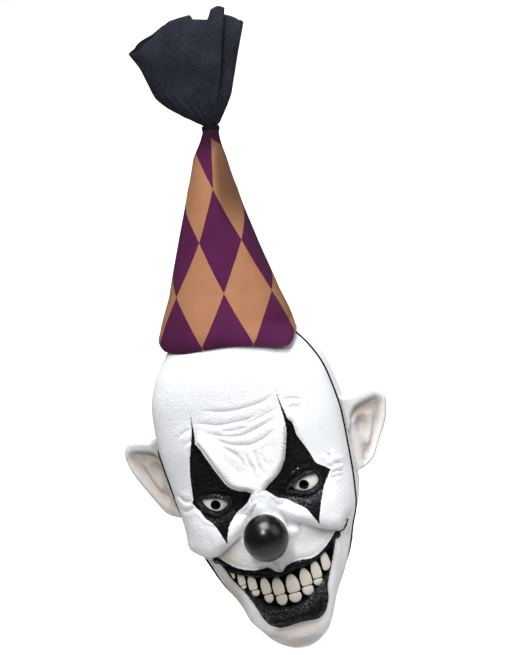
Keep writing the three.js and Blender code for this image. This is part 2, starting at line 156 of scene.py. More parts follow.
# distance to a line of points, which side of it (+ on its left) and how far along it the nearest place is
def lineDistance(line, x, z):
    nearest = np.full(x.shape, 1e6)
    side = np.zeros(x.shape)
    along = np.zeros(x.shape)
    reached = lengthAlong(line)
    reached = reached / reached[-1]
    for (ax, az), (bx, bz), start, end in zip(line[:-1], line[1:], reached[:-1], reached[1:]):
        dx, dz = bx - ax, bz - az
        t = np.clip(((x - ax) * dx + (z - az) * dz) / (dx * dx + dz * dz), 0, 1)
        gap = np.hypot(x - ax - t * dx, z - az - t * dz)
        closer = gap < nearest
        nearest = np.where(closer, gap, nearest)
        side = np.where(closer, np.sign(dx * (z - az) - dz * (x - ax)), side)
        along = np.where(closer, start + t * (end - start), along)
    return nearest, side, along


# signed distance to a closed outline made of strokes, negative inside; far points get the margin
def outlineDistance(strokes, x, z, margin=16.0):
    line = np.concatenate([smoothStroke(stroke)[:-1] for stroke in strokes])
    line = np.concatenate([line, line[:1]])
    near = nearLine(line, x, z, margin)
    px, pz = x[near], z[near]
    gap = lineDistance(line, px, pz)[0]
    inside = np.zeros(px.shape, bool)
    for (ax, az), (bx, bz) in zip(line[:-1], line[1:]):
        if az != bz:
            inside ^= ((az > pz) != (bz > pz)) & (px < ax + (pz - az) * (bx - ax) / (bz - az))
    result = np.full(x.shape, margin)
    result[near] = np.minimum(np.where(inside, -gap, gap), margin)
    return result


# meshes

def gridFaces(rows, columns, start=0):
    index = start + np.arange(rows * columns).reshape(rows, columns)
    return np.stack([index[:-1, :-1], index[:-1, 1:], index[1:, 1:], index[1:, :-1]], -1).reshape(-1, 4)


def makePiece(name, points, faces, finish, node, uv=None, values=None):
    mesh = bpy.data.meshes.new(name)
    mesh.from_pydata(toFrame(points).tolist(), [], faces)
    if uv is not None:
        corners = np.zeros(len(mesh.loops), int)
        mesh.loops.foreach_get("vertex_index", corners)
        spread = uv.reshape(-1, 2)[corners].astype(np.float32)
        mesh.uv_layers.new(name="UVMap").uv.foreach_set("vector", spread.ravel())
    for key, numbers in (values or {}).items():
        numbers = numbers.astype(np.float32).ravel()
        mesh.attributes.new(key, "FLOAT", "POINT").data.foreach_set("value", numbers)
    work = bmesh.new()
    work.from_mesh(mesh)
    bmesh.ops.remove_doubles(work, verts=work.verts, dist=2e-6)
    bmesh.ops.dissolve_degenerate(work, edges=work.edges, dist=1e-7)
    if work.calc_volume(signed=True) < 0:
        bmesh.ops.reverse_faces(work, faces=work.faces)
    work.to_mesh(mesh)
    work.free()
    mesh.shade_smooth()
    mesh.materials.append(finish)
    piece = bpy.data.objects.new(name, mesh)
    scene.collection.objects.link(piece)
    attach(piece, "root")
    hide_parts(node)
    print(name, len(mesh.vertices), "vertices")
    return piece


# a piece whose points are one grid
def gridPiece(name, points, finish, node, uv=None, values=None):
    faces = gridFaces(*points.shape[:2]).tolist()
    return makePiece(name, points.reshape(-1, 3), faces, finish, node, uv, values)


# a sheet of rows, the sheet behind it and the first row again, which make a wall that closes on itself
def wallRows(outer, inner):
    return np.concatenate([outer, inner[::-1], outer[:1]])


# one value for each point of an outer grid, and the same number for every point of the lining
def withLining(outer, number, count):
    return np.concatenate([outer.ravel(), np.full(count, number)])


# node maths: operators on a wired value add Math nodes
class Wire:
    def __init__(self, tree, socket=None):
        self.tree = tree
        self.socket = socket

    def make(self, kind, settings=None, inputs=None, output=0):
        node = self.tree.nodes.new(kind)
        for key, value in (settings or {}).items():
            setattr(node, key, value)
        for key, value in (inputs or {}).items():
            if isinstance(value, Wire):
                self.tree.links.new(value.socket, node.inputs[key])
            else:
                node.inputs[key].default_value = value
        return Wire(self.tree, node.outputs[output] if len(node.outputs) else None)

    def maths(self, operation, *values):
        return self.make("ShaderNodeMath", {"operation": operation}, dict(enumerate(values)))

    def __add__(self, other):
        return self.maths("ADD", self, other)

    def __radd__(self, other):
        return self.maths("ADD", other, self)

    def __sub__(self, other):
        return self.maths("SUBTRACT", self, other)

    def __rsub__(self, other):
        return self.maths("SUBTRACT", other, self)

    def __mul__(self, other):
        return self.maths("MULTIPLY", self, other)

    def __rmul__(self, other):
        return self.maths("MULTIPLY", other, self)

    def ramp(self, low, high):
        return self.make("ShaderNodeMapRange", {"interpolation_type": "SMOOTHSTEP"},
                         {"Value": self, "From Min": low, "From Max": high})

    def mix(self, first, second):
        return self.make("ShaderNodeMix", {"data_type": "RGBA"}, {0: self, 6: first, 7: second}, 2)


def colour(red, green, blue):
    channel = np.array([red, green, blue]) / 255
    linear = np.where(channel <= 0.04045, channel / 12.92, ((channel + 0.055) / 1.055) ** 2.4)
    return (*linear.tolist(), 1.0)


# a material: a function from its wires to the inputs of one shader
def makeFinish(name, surface):
    finish = bpy.data.materials.new(name)
    finish.use_nodes = True
    finish.node_tree.nodes.clear()
    wire = Wire(finish.node_tree)
    shader = wire.make("ShaderNodeBsdfPrincipled", {}, surface(wire))
    wire.make("ShaderNodeOutputMaterial", {}, {"Surface": shader})
    return finish


def objectNoise(wire, scale, detail=2.0, roughness=0.5):
    place = wire.make("ShaderNodeTexCoord", output=3)
    inputs = {"Vector": place, "Scale": scale, "Detail": detail, "Roughness": roughness}
    return wire.make("ShaderNodeTexNoise", {}, inputs)


# a piece's own pattern coordinates, whole and as their two parts
def patternPlace(wire):
    place = wire.make("ShaderNodeUVMap", {"uv_map": "UVMap"})
    across = wire.make("ShaderNodeSeparateXYZ", {}, {0: place})
    return place, across, Wire(wire.tree, across.socket.node.outputs[1])


def attribute(wire, name):
    return wire.make("ShaderNodeAttribute", {"attribute_name": name}, output=2)


def bump(wire, height, distance, strength=1.0):
    return wire.make("ShaderNodeBump", {}, {"Height": height, "Distance": distance, "Strength": strength})


# white latex with black gloss paint where a piece's ink value, in millimetres to the paint's edge, is below 0
# the grey-beige tone is painted shade for hollows and shaded places, the light grey tone painted glint on the
# black paint, and the dark inside tone painted shade for the inside of the head seen through the eye holes
latexTones = {"white": (245, 247, 250), "hollow": (190, 178, 167), "paint": (3, 3, 4),
              "streaked": (24, 24, 28), "fineSpecks": (140, 148, 160), "inside": (40, 37, 36)}
latexLook = {
    "latexRoughness": 0.62, "paintRoughness": 0.18, "specular": 0.14, "coatRoughness": 0.1,
    "raggedEdge": 2.2, "softEdge": 0.22, "relief": 0.0012, "reliefStrength": 0.9,
}
# noises of the skin and the paint: scale, detail, roughness
latexNoises = {"fine": (1500, 2), "pebble": (480, 3, 0.62), "broad": (60, 2), "ragged": (500, 4, 0.7),
               "streak": (260, 4, 0.65), "speck": (560, 5, 0.75), "patch": (380, 5, 0.7)}


def latexSurface(wire):
    noise = {key: objectNoise(wire, *values) for key, values in latexNoises.items()}
    tone = {key: colour(*value) for key, value in latexTones.items()}
    pebble = noise["pebble"] - 0.5
    edge = attribute(wire, "ink") + (noise["ragged"] - 0.5) * latexLook["raggedEdge"]
    painted = 1 - edge.ramp(-latexLook["softEdge"], latexLook["softEdge"])
    # the linings take the dark inside tone: painted shade for the inside of the head
    lining = attribute(wire, "lining").ramp(0.4, 0.6)
    # mix toward the grey-beige tone: painted shade in hollows and shaded places, with random mottle
    shadeAndMottle = attribute(wire, "hollow").ramp(0.0, 1.0) * 0.8 + (noise["broad"] - 0.5) * 0.12 + pebble * 0.2
    skin = shadeAndMottle.mix(tone["white"], tone["hollow"])
    plain = (noise["streak"].ramp(0.58, 0.8) * 0.4).mix(tone["paint"], tone["streaked"])
    # light grey specks on the black paint: painted glint
    fineSpecks = attribute(wire, "paintedGlint") * noise["speck"].ramp(0.48, 0.7)
    outer = painted.mix(skin, fineSpecks.mix(plain, tone["fineSpecks"]))
    roughness = (latexLook["latexRoughness"] + pebble * 0.2) * (1 - painted)
    roughness = roughness + (latexLook["paintRoughness"] + pebble * 0.3) * painted + lining * 0.2
    gloss = painted * (1 - lining) * noise["patch"].ramp(0.5, 0.7)
    grain = noise["fine"] * 0.35 + noise["pebble"] * (0.75 + painted * 0.6)
    return {"Base Color": lining.mix(outer, tone["inside"]), "Roughness": roughness,
            "Specular IOR Level": latexLook["specular"],
            "Coat Weight": gloss, "Coat Roughness": latexLook["coatRoughness"],
            "Normal": bump(wire, grain, latexLook["relief"], latexLook["reliefStrength"])}


# head form: level rows from the crown to under the chin
headForm = {
    "z": (165, 159, 148, 131, 117, 100, 81, 58, 40, 20, 5, -9, -26, -42, -59, -80, -99, -118, -138.5, -150,
          -158.5, -163.5),
    "side": (0, 33, 53, 68.5, 77.7, 84.8, 88, 90, 89.4, 88, 86.8, 85.5, 83, 80, 72.6, 64.4, 55.3, 43.4, 33.7,
             26, 15.5, 6),
    "seam": (62, 60, 56, 50, 46, 43, 42, 42, 42, 42, 42, 42, 42, 40, 38, 35, 32, 28, 26, 25, 25, 27),
    "front": (62, 30, 9, 0, -3, -4, -4, -5, -6, -6, -5, -4, -3, -2, -2, -1, 0, 0, 2, 6, 13, 24),
    "back": (62, 100, 130, 153, 166, 176, 184, 189, 190, 190, 188, 186, 181, 176, 170, 163, 156, 150, 145,
             140, 120, 60),
    "gap": 0.25, "facePower": 0.92, "backPower": 0.95, "wall": 2.0, "thinAt": 8.0, "neck": -80.0,
    "rightJaw": (-126.0, 15.0, 5.6),
}
headRowNumbers = np.linspace(0, len(headForm["z"]) - 1, 4000)
headHeights = smoothColumn(headForm["z"], headRowNumbers, 1)


def headSection(at):
    level = {key: smoothColumn(headForm[key], at, 1) for key in ("z", "seam")}
    return level | {key: smoothColumn(headForm[key], at) for key in ("side", "front", "back")}


def rowAtHeight(z):
    return np.interp(-np.asarray(z, float), -headHeights, headRowNumbers)


# row numbers spaced so that steps along the middle of the face are even, finer between two heights
def spacedRows(first, last, count, low=0.0, high=0.0, fineness=1.0):
    at = np.linspace(first, last, 4000)
    section = headSection(at)
    step = np.hypot(np.gradient(section["z"]), np.gradient(section["front"]))
    weight = step * np.where((section["z"] > low) & (section["z"] < high), fineness, 1.0)
    reached = np.concatenate([[0], np.cumsum(weight[1:])])
    return np.interp(np.linspace(0, reached[-1], count), reached, at)


# how far a point is outside the plain head, about 0 on its skin and negative inside
def outsideHead(points):
    x, y, z = np.moveaxis(points, -1, 0)
    section = headSection(rowAtHeight(z))
    ahead = y < section["seam"]
    depth = np.where(ahead, section["seam"] - section["front"], section["back"] - section["seam"])
    power = 2 / np.where(ahead, headForm["facePower"], headForm["backPower"])
    sideways = np.abs(x) / np.maximum(section["side"], 1)
    lengthways = np.abs(y - section["seam"]) / np.maximum(depth, 1)
    return np.where(z > headForm["z"][0], 1.0, sideways ** power + lengthways ** power - 1)


# half superellipse sections from joint to joint, over the front where the reach is negative
def halfSections(z, side, start, reach, angle, power):
    x = side * np.sign(angle) * np.abs(np.sin(angle)) ** power
    y = start + reach * np.maximum(np.cos(angle), 0) ** power
    return np.stack(np.broadcast_arrays(x, y, z), -1)


def levelNormals(points, side, start, reach):
    x = points[..., 0] / np.maximum(side, 1) ** 2
    y = (points[..., 1] - start) / np.maximum(reach, 1) ** 2
    return unitVectors(np.stack([x, y, np.zeros(x.shape)], -1))


# distance over the skin to the nearer joint
def jointDistance(points):
    reached = lengthAlong(points, 1)
    return np.minimum(reached, reached[:, -1:] - reached)


# a lining ends beside the joint one wall further in, and at the crown one wall lower
def closeLining(inner, outer, side):
    step = np.array([headForm["wall"], 0, 0]) * smoothstep(side, 0, headForm["thinAt"])
    for column in (0, -1):
        inner[:, column] = outer[:, column] - np.sign(outer[:, column, :1]) * step
    inner[-1] = outer[-1] - np.array([0, 0, headForm["wall"]])


# paint and relief lines of the face, on the portrait plane
facePaint = {
    "rightPatch": [
        [(-42, 94), (-45, 78), (-48, 68), (-52, 57), (-56, 45), (-59, 32), (-61, 18), (-62, 11), (-64, 8)],
        [(-64, 8), (-60, 1), (-55, -6), (-51, -13), (-47, -22), (-44, -32), (-41.5, -39)],
        [(-41.5, -39), (-40, -32), (-36, -23), (-31, -17), (-24, -11), (-18, -8), (-12, -4), (-6.5, 3)],
        [(-6.5, 3), (-12, 6), (-18, 8), (-24, 12), (-28, 17), (-32, 26), (-36, 36), (-40, 47), (-43, 55),
         (-46, 62)],
        [(-46, 62), (-44.5, 70), (-43.5, 80), (-42, 94)],
    ],
    "leftPatch": [
        [(40.5, 94), (41.5, 75), (42, 63)],
        [(42, 63), (41, 52), (38, 42), (35, 33), (31, 24), (25, 16), (18, 10), (12, 7), (6.5, 2.5)],
        [(6.5, 2.5), (12, -3), (17, -8), (24, -11), (32, -18), (39, -24), (43, -31), (46, -38), (48, -43)],
        [(48, -43), (50, -35), (53, -27), (56, -20), (61, -10), (65, -4), (72, 5)],
        [(72, 5), (66, 10), (60, 15), (57, 25), (53, 36), (49.5, 45), (48.5, 57), (45, 63), (43.5, 72),
         (40.5, 94)],
    ],
    "lips": [
        [(-60, -50.5), (-58, -48), (-54, -48.5), (-51, -52), (-45, -58), (-40, -62.5), (-33, -66), (-25, -69),
         (-17, -70), (-11, -70), (-7, -73), (-3, -76.5), (1, -78)],
        [(1, -78), (4, -76), (7, -73), (13, -71.5), (22, -71), (32, -72), (40, -70), (47, -66), (53, -61),
         (58, -56), (61, -53.5), (64, -54), (65, -58), (63, -60.5), (59, -61)],
        [(59, -61), (57, -66), (53, -75), (48, -85), (43, -95), (40, -103), (38.5, -111), (36, -118),
         (32, -125), (27, -129), (22, -130.5), (10, -129.5), (0, -129.5), (-10, -130), (-17, -128.5),
         (-23, -124.5), (-27, -118), (-30, -109), (-33, -100), (-37, -90), (-42, -81), (-47, -72), (-51, -62),
         (-54, -56), (-58, -54.5), (-60, -50.5)],
    ],
    "mouth": [
        [(-51, -57.5), (-45, -61), (-35, -67.5), (-20, -74), (-8, -78), (1, -80.5), (12, -78.5), (24, -77),
         (36, -72.5), (46, -66.5), (55, -61.5)],
        [(55, -61.5), (53, -72), (48, -83), (40, -93), (32, -101), (20, -108), (6, -112), (-10, -110),
         (-22, -103), (-33, -92), (-42, -80), (-51, -57.5)],
    ],
    "rightEye": [
        [(-55, 8.5), (-45, 7), (-37, 4.5), (-28.5, 1)],
        [(-28.5, 1), (-34, -3), (-39, -5.5), (-44.5, -5.5), (-50, -2), (-54, 4.5), (-55, 8.5)],
    ],
    "leftEye": [
        [(30.5, -2), (38, 1.5), (46, 4), (52, 4.5), (57, 4), (58, 2)],
        [(58, 2), (58, -2), (55, -5.5), (50, -8), (44, -8.5), (37, -6), (30.5, -2)],
    ],
    "smileLine": [(63, -55), (68, -54.5), (72, -51), (75, -46)],
    "smileWidth": 0.75, "seamWidth": 0.6, "lidReach": 16.0, "lidInk": -2.5,
}

# lines with a groove and a soft roll on both sides: depth, width, roll, points
grooveForm = {"reach": 14.0, "rollAt": 4.4, "rollWidth": 3.2, "endShare": 0.22}
faceLines = [
    (0.95, 0.9, 0.5, [(-34, 92), (-20, 87), (-5, 83.5), (10, 83), (25, 84), (41, 88.5)]),
    (1.1, 0.9, 0.6, [(-44, 81.5), (-30, 77), (-20, 73.5), (-5, 72), (10, 72), (20, 74)]),
    (0.8, 0.9, 0.45, [(-2, 71), (8, 68.5), (20, 70), (41, 75.5)]),
    (1.1, 0.9, 0.6, [(-37, 71), (-25, 65), (-15, 61), (-3, 58.5), (10, 60), (25, 64), (41, 68.5)]),
    (1.2, 1.0, 0.7, [(-32, 65), (-22, 58), (-12, 52), (0, 48.5), (8, 48), (20, 51), (34, 58)]),
    (0.8, 0.9, 0.5, [(-20, 68), (-12, 65.5), (-2, 64.5), (8, 65)]),
    (0.8, 1.0, 0.4, [(-60, 70), (-54, 75), (-46, 77)]),
    (0.7, 1.0, 0.4, [(-56, 62), (-50, 66), (-46, 67)]),
    (0.7, 1.0, 0.4, [(46, 81), (54, 80), (62, 76)]),
    (0.6, 1.0, 0.4, [(47, 72), (54, 72), (60, 69)]),
    (1.0, 1.5, 0.8, [(-24, 54), (-14, 45), (-8, 36), (-6, 26)]),
    (1.2, 1.1, 0.7, [(-2, 43), (-2, 34), (1, 24), (1, 13)]),
    (1.1, 1.1, 0.7, [(8, 45), (6, 34), (7, 25), (11, 14)]),
    (0.8, 1.1, 0.6, [(15, 44), (12, 34), (13, 25)]),
    (1.1, 1.1, 0.8, [(-7, -2), (-12, -8), (-19, -14)]),
    (1.1, 1.1, 0.8, [(-5, -7), (-9, -13), (-15, -19)]),
    (0.7, 1.0, 0.5, [(8, -3), (12, -10), (15, -17)]),
    (1.4, 1.2, 0.9, [(-64, 9), (-71, 12), (-75, 19)]),
    (1.3, 1.2, 0.9, [(-63, 4), (-70, 2), (-76, 3)]),
    (1.5, 1.2, 1.0, [(72, 6), (79, 9), (85, 6)]),
    (1.5, 1.1, 1.0, [(71, 1), (78, 2), (84, 0)]),
    (1.1, 1.1, 0.8, [(69, -4), (76, -3), (82, -4)]),
    (1.2, 1.2, 0.7, [(73, 22), (75, 14), (76, 8)]),
    (1.0, 1.5, 0.3, [(-6, -62), (-3, -68), (1, -77)]),
    (0.8, 1.5, 0.3, [(62, -61), (64, -70), (62, -80)]),
    (1.6, 1.3, 0.0, [(22, -33), (30, -37.5), (40, -43.5), (47, -48), (54, -51.5), (62, -53), (67, -52.5)]),
    (1.4, 1.3, 0.0, [(-24, -32), (-31, -37), (-38, -41), (-45, -45), (-51, -48), (-58, -49.5)]),
    (0.9, 1.2, 0.3, [(27.5, -34), (29.5, -39), (29, -44.5), (26, -50)]),
]

# broad forms, the same on both sides: x and z of the middle, half width and height, how far it stands out
faceForms = {
    "cheek": (60, -24, 21, 18, 7.5), "jaw": (74, -63, 13, 12, -3.0), "brow": (25, 34, 15, 20, 2.0),
    "bridge": (0, -17, 11.5, 19, 10.5), "wing": (24.0, -41, 6.4, 7.0, 5.0),
    "upperLip": (20, -62, 26, 12, 3.4), "corner": (61, -57, 9, 7, 3.0), "chin": (0, -146, 20, 7, 6.0),
    "chinDip": (0, -134.5, 24, 4, -3.0), "temple": (72, 30, 12, 24, -1.5),
    "foreheadBoss": (0, 105, 55, 26, 1.5),
}
# folds: the brows over the painted sockets and the lower edges of the cheeks; each has its shape, the line
# that it fades away from, the outline whose edge it follows and +1 where the outside of the outline is raised
foldShapes = {
    "brow": {"raise": 6.2, "rise": 1.8, "reach": 13.0, "dip": 3.6, "drop": 1.8, "dipReach": 13.0},
    "cheek": {"raise": 10.0, "rise": 4.4, "reach": 17.0, "dip": 2.6, "drop": 0.5, "dipReach": 8.0},
}
foldMargin = 40.0
rightFold = [(-24, -32), (-31, -37), (-38, -41), (-45, -45), (-51, -48), (-57, -49.5), (-64, -48.5),
             (-71, -46), (-80, -42)]
leftFold = [(20, -32), (26, -36), (33, -39), (40, -43.5), (47, -48), (54, -51.5), (62, -53), (69, -52.5)]
rightCheek = [[(-15, -16), (-19, -25)] + rightFold + [(-96, -38)],
              [(-96, -38), (-98, -8), (-70, 4), (-40, -8), (-15, -16)]]
leftCheek = [[(12, -16), (16, -26)] + leftFold + [(75, -48), (80, -40), (92, -30)],
             [(92, -30), (96, -8), (70, 0), (40, -8), (12, -16)]]
faceFolds = [
    ("brow", facePaint["rightPatch"][3][1:-1], facePaint["rightPatch"], 1),
    ("brow", facePaint["leftPatch"][1][-2:0:-1], facePaint["leftPatch"], 1),
    ("cheek", rightFold, rightCheek, -1),
    ("cheek", leftFold, leftCheek, -1),
]
# rolls and grooves along the lips: where from the edge, width, how far they stand out
lipForm = {
    "roll": (-4.5, 3.5, 2.2), "groove": (1.5, 2.2, -0.8), "hollow": 9.5, "hollowEdge": (-0.8, 3.4),
    "lowerLine": [(-32, -101), (-28, -107), (-22, -112.5), (-10, -116.5), (5, -117.5), (18, -114), (30, -106),
                  (38, -96)],
    "lowerRoll": 5.0, "lowerWidth": 5.0, "lowerEnd": 0.1, "lowerEdge": (-2.5, 1.0),
}
# places on the portrait plane darkened with painted shade: middle, half width and height, strength
shadedFacePlaces = [(-2, -136, 28, 5.5, 1.3), (0, -148, 30, 6, 0.95), (-40, -50, 22, 12, 0.4),
              (-4, -68, 9, 7, 0.45), (-24, -58, 16, 12, 0.35), (-49, -84, 11, 34, 0.9),
              (50, -52, 14, 7, 0.45), (54, -82, 8, 30, 0.4), (26, -54, 16, 10, 0.6), (-24, 36, 11, 18, 0.35),
              (30, 40, 10, 18, 0.35)]
# painted glint, light grey specks on the black paint: along the lower lip, more to the viewer's right, under
# the eyes and on the rims of the lids
glintPlaces = {"lip": (0.5, 3.6), "lipRange": (-4.0, 26.0), "lid": (8.0, 3.6, 0.95), "lidRim": (2.6, 1.4, 0.3),
             "below": (2.0, 9.0), "least": 0.3}


# 1 along a line, falling to 0 over a share of it at both ends
def fadedEnds(along, share):
    return within(along, (0, share), (1 - share, 1))


# beside the edge: a roll that rises on the raised side and a dip on the other, both fading away from the
# line; the distance from the edge is taken in whole millimetres
def foldRelief(kind, line, outline, raisedSide, across, up):
    shape = foldShapes[kind]
    gap = lineDistance(smoothStroke(line), across, up)[0]
    out = raisedSide * np.trunc(outlineDistance(outline, across, up, foldMargin))
    roll = shape["raise"] * (1 - np.exp(-np.maximum(out, 0) / shape["rise"])) * bell(gap, shape["reach"])
    dip = shape["dip"] * (1 - np.exp(-np.maximum(-out, 0) / shape["drop"])) * bell(gap, shape["dipReach"])
    return roll - dip


def grooveRelief(across, up):
    grooves = np.zeros(across.shape)
    for depth, width, roll, line in faceLines:
        line = smoothStroke(line)
        near = nearLine(line, across, up, grooveForm["reach"])
        gap, _, along = lineDistance(line, across[near], up[near])
        rolled = roll * bell(gap - grooveForm["rollAt"], grooveForm["rollWidth"]) - depth * bell(gap, width)
        grooves[near] += fadedEnds(along, grooveForm["endShare"]) * rolled
    return grooves


# relief at points: sum of the broad forms, folds, grooves, lips and the mouth's hollow, and the grooves alone
def faceRelief(points):
    x, _, z = np.moveaxis(points, -1, 0)
    across, up = portrait(points)
    raised = sum(mound(np.abs(x), z, *form) for form in faceForms.values())
    raised = raised + sum(foldRelief(*fold, across, up) for fold in faceFolds)
    grooves = grooveRelief(across, up)
    lips = outlineDistance(facePaint["lips"], across, up)
    mouth = outlineDistance(facePaint["mouth"], across, up)
    inMouth = smoothstep(-mouth, *lipForm["hollowEdge"])
    raised = (raised + grooves) * (1 - inMouth)
    for key, share in (("roll", 1 - inMouth), ("groove", 1)):
        place, width, height = lipForm[key]
        raised += height * bell(lips - place, width) * share
    gap, _, along = lineDistance(smoothStroke(lipForm["lowerLine"]), across, up)
    roll = lipForm["lowerRoll"] * bell(gap, lipForm["lowerWidth"]) * fadedEnds(along, lipForm["lowerEnd"])
    raised += roll * smoothstep(mouth, *lipForm["lowerEdge"])
    return raised - lipForm["hollow"] * inMouth, grooves


# distance to the nearer eye opening, negative inside
def eyeOpening(points):
    place = portrait(points)
    return np.minimum(*(outlineDistance(facePaint[key], *place) for key in ("rightEye", "leftEye")))


# depth of the skin: near the eyes it follows the eye's ball, with rolls round the opening, and turns in at
# its edge; near the nose it is level for the ball's seat
def settledDepth(points):
    x, y, z = np.moveaxis(points, -1, 0)
    ball, fromPupil = eyeDepth(x, z), eyeOffset(x, z)
    lid = ball - eyeForm["lid"]
    opening = eyeOpening(np.stack([x, lid, z], -1))
    lidDepth = np.minimum(y, lid)
    lidDepth += (ball + eyeForm["behind"] - lidDepth) * smoothstep(-opening, *eyeForm["turnIn"])
    rolls = sum(height * bell(opening - place, width) for place, width, height in eyeForm["rolls"])
    y = y + (lidDepth - y) * (1 - smoothstep(fromPupil, *eyeForm["lidReach"]))
    y = y - rolls * (1 - smoothstep(fromPupil, *eyeForm["rollReach"]))
    middle, radii = noseForm["centre"][2], noseForm["radii"]
    seat = 1 - smoothstep(np.hypot(x, (z - middle) * radii[0] / radii[2]), *noseForm["seatReach"])
    level = noseForm["seat"] - noseForm["seatLean"] * smoothstep(z, middle, noseForm["leanTop"])
    return y + (level - y) * seat, opening


# millimetres to the paint's edge: patches, lips, the line from the mouth's corner, the joint and the lids
def faceInk(points, across, up):
    smile = lineDistance(smoothStroke(facePaint["smileLine"]), across, up)[0] - facePaint["smileWidth"]
    edges = [outlineDistance(facePaint[key], across, up) for key in ("rightPatch", "leftPatch", "lips")]
    ink = np.minimum.reduce(edges + [smile, jointDistance(points) - facePaint["seamWidth"]])
    byEye = eyeOffset(points[..., 0], points[..., 2]) < facePaint["lidReach"]
    return np.where(byEye, np.minimum(ink, facePaint["lidInk"]), ink)


def neighbours(grid):
    return grid[:-2, 1:-1] + grid[2:, 1:-1] + grid[1:-1, :-2] + grid[1:-1, 2:]


# painted shade in the dents and grooves of the relief and at the listed places of painted shade
def facePaintedShade(push, grooves, across, up):
    soft = push.copy()
    for _ in range(faceGrid["softPasses"]):
        soft[1:-1, 1:-1] = (soft[1:-1, 1:-1] * 2 + neighbours(soft)) / 6
    hollow = np.clip((soft - push) * 0.25, 0, 0.6) + np.clip(-grooves * 0.07, 0, 0.2)
    return hollow + sum(mound(across, up, *shade) for shade in shadedFacePlaces)


# how strongly the black paint is flecked with painted glint
def faceGlint(points, opening, across, up):
    least = glintPlaces["least"]
    place, width = glintPlaces["lip"]
    ridge = lineDistance(smoothStroke(lipForm["lowerLine"]), across, up)[0]
    paintedGlint = bell(ridge - place, width) * (least + (1 - least) * smoothstep(across, *glintPlaces["lipRange"]))
    below = smoothstep(eyeForm["height"] - points[..., 2], *glintPlaces["below"])
    below = below * (least + (1 - least) * (points[..., 0] > 0))
    for key, share in (("lid", below), ("lidRim", 1)):
        place, width, strength = glintPlaces[key]
        paintedGlint += strength * bell(opening - place, width) * share
    return paintedGlint


# strips from the fine grid's edge to the coarse grid's edge, wherever a kept block lies beside one left out
def joinGrids(keep, coarse, fine, low):
    strips = []
    for turned in (False, True):
        if turned:
            keep, fine, low = keep.T, fine.T, low.T
        padded = np.pad(keep, 1)[:, 1:-1]
        for keptAfter in (False, True):
            i, j = np.nonzero((padded[1:] != padded[:-1]) & (padded[1:] == keptAfter))
            run = [fine[i * coarse, j * coarse + k] for k in range(coarse + 1)]
            strip = np.stack(run + [low[i, j + 1], low[i, j]], -1)
            strips.append(strip[:, ::-1] if keptAfter != turned else strip)
    return np.concatenate(strips)


# front of the mask: half superellipse sections from chin to crown, pushed out along their level normals by
# the relief; the lining is a coarser grid, one wall behind the deepest relief near each of its points; both
# are open at the eyes
faceGrid = {"columns": 249, "rows": 345, "coarse": 4, "fine": (-134.0, 94.0, 1.9), "passes": 4,
            "edgeFade": 0.09, "seed": 7, "unevenSkin": 0.05, "unevenPaint": 0.22, "softPasses": 24,
            "openInside": -1.9}


def buildFace(finish):
    rows, columns, coarse = faceGrid["rows"], faceGrid["columns"], faceGrid["coarse"]
    at = spacedRows(len(headForm["z"]) - 1, 0, rows, *faceGrid["fine"])
    spread = np.linspace(-1, 1, columns)[None, :]
    section = headSection(at[:, None])
    level, high, wider = headForm["rightJaw"]  # the jaw is fuller on the wearer's right
    side = section["side"] + wider * bell(section["z"] - level, high) * (spread < 0)
    angle = np.pi / 2 * (0.8 * spread + 0.2 * spread ** 3)
    start = section["seam"] - headForm["gap"]
    reach = np.maximum(start - section["front"], 0)
    base = halfSections(section["z"], side, start, -reach, angle, headForm["facePower"])
    normal = levelNormals(base, side, start, reach)
    fade = smoothstep(1 - np.abs(spread), 0.0, faceGrid["edgeFade"]) * np.ones((rows, 1))
    facing = np.minimum(normal[..., 1], -0.2)
    push = np.zeros((rows, columns))
    for _ in range(faceGrid["passes"]):
        relief, grooves = faceRelief(base + push[..., None] * normal)
        depth, opening = settledDepth(base + (relief * fade)[..., None] * normal)
        push = (depth - base[..., 1]) / facing
    points = base + push[..., None] * normal
    across, up = portrait(points)
    ink = faceInk(points, across, up)
    uneven = np.random.default_rng(faceGrid["seed"]).normal(size=(rows, columns))
    uneven[1:-1, 1:-1] = neighbours(uneven) / 2
    painted = 1 - smoothstep(ink, -1, 1)
    uneven *= fade * (faceGrid["unevenSkin"] + (faceGrid["unevenPaint"] - faceGrid["unevenSkin"]) * painted)
    points = points + uneven[..., None] * normal

    deepest = push
    for shift in range(-coarse, coarse + 1):
        for axis in (0, 1):
            deepest = np.minimum(deepest, np.roll(push, shift, axis))
    block = np.s_[::coarse, ::coarse]
    inner = base[block] + (deepest[block] - headForm["wall"])[..., None] * normal[block]
    closeLining(inner, points[block], section["side"][::coarse])
    lowRows, lowColumns = inner.shape[:2]
    keep = opening[:-1, :-1].reshape(lowRows - 1, coarse, lowColumns - 1, coarse).max((1, 3))
    keep = keep > faceGrid["openInside"]
    count, lowCount = rows * columns, lowRows * lowColumns
    fineKeep = np.repeat(np.repeat(keep, coarse, 0), coarse, 1)
    fine = gridFaces(rows, columns)[fineKeep.ravel()]
    low = gridFaces(lowRows, lowColumns, count)[keep.ravel()][:, ::-1]
    fineIndex = np.arange(count).reshape(rows, columns)
    lowIndex = count + np.arange(lowCount).reshape(lowRows, lowColumns)
    strips = joinGrids(keep, coarse, fineIndex, lowIndex)
    values = {"ink": withLining(ink, -2.0, lowCount),
              "paintedGlint": withLining(faceGlint(points, opening, across, up), 0.0, lowCount),
              "hollow": withLining(facePaintedShade(push, grooves, across, up), 0.0, lowCount),
              "lining": withLining(np.zeros(count), 1.0, lowCount)}
    allPoints = np.concatenate([points.reshape(-1, 3), inner.reshape(-1, 3)])
    faces = fine.tolist() + low.tolist() + strips.tolist()
    makePiece("faceFront", allPoints, faces, finish, "face_front", values=values)


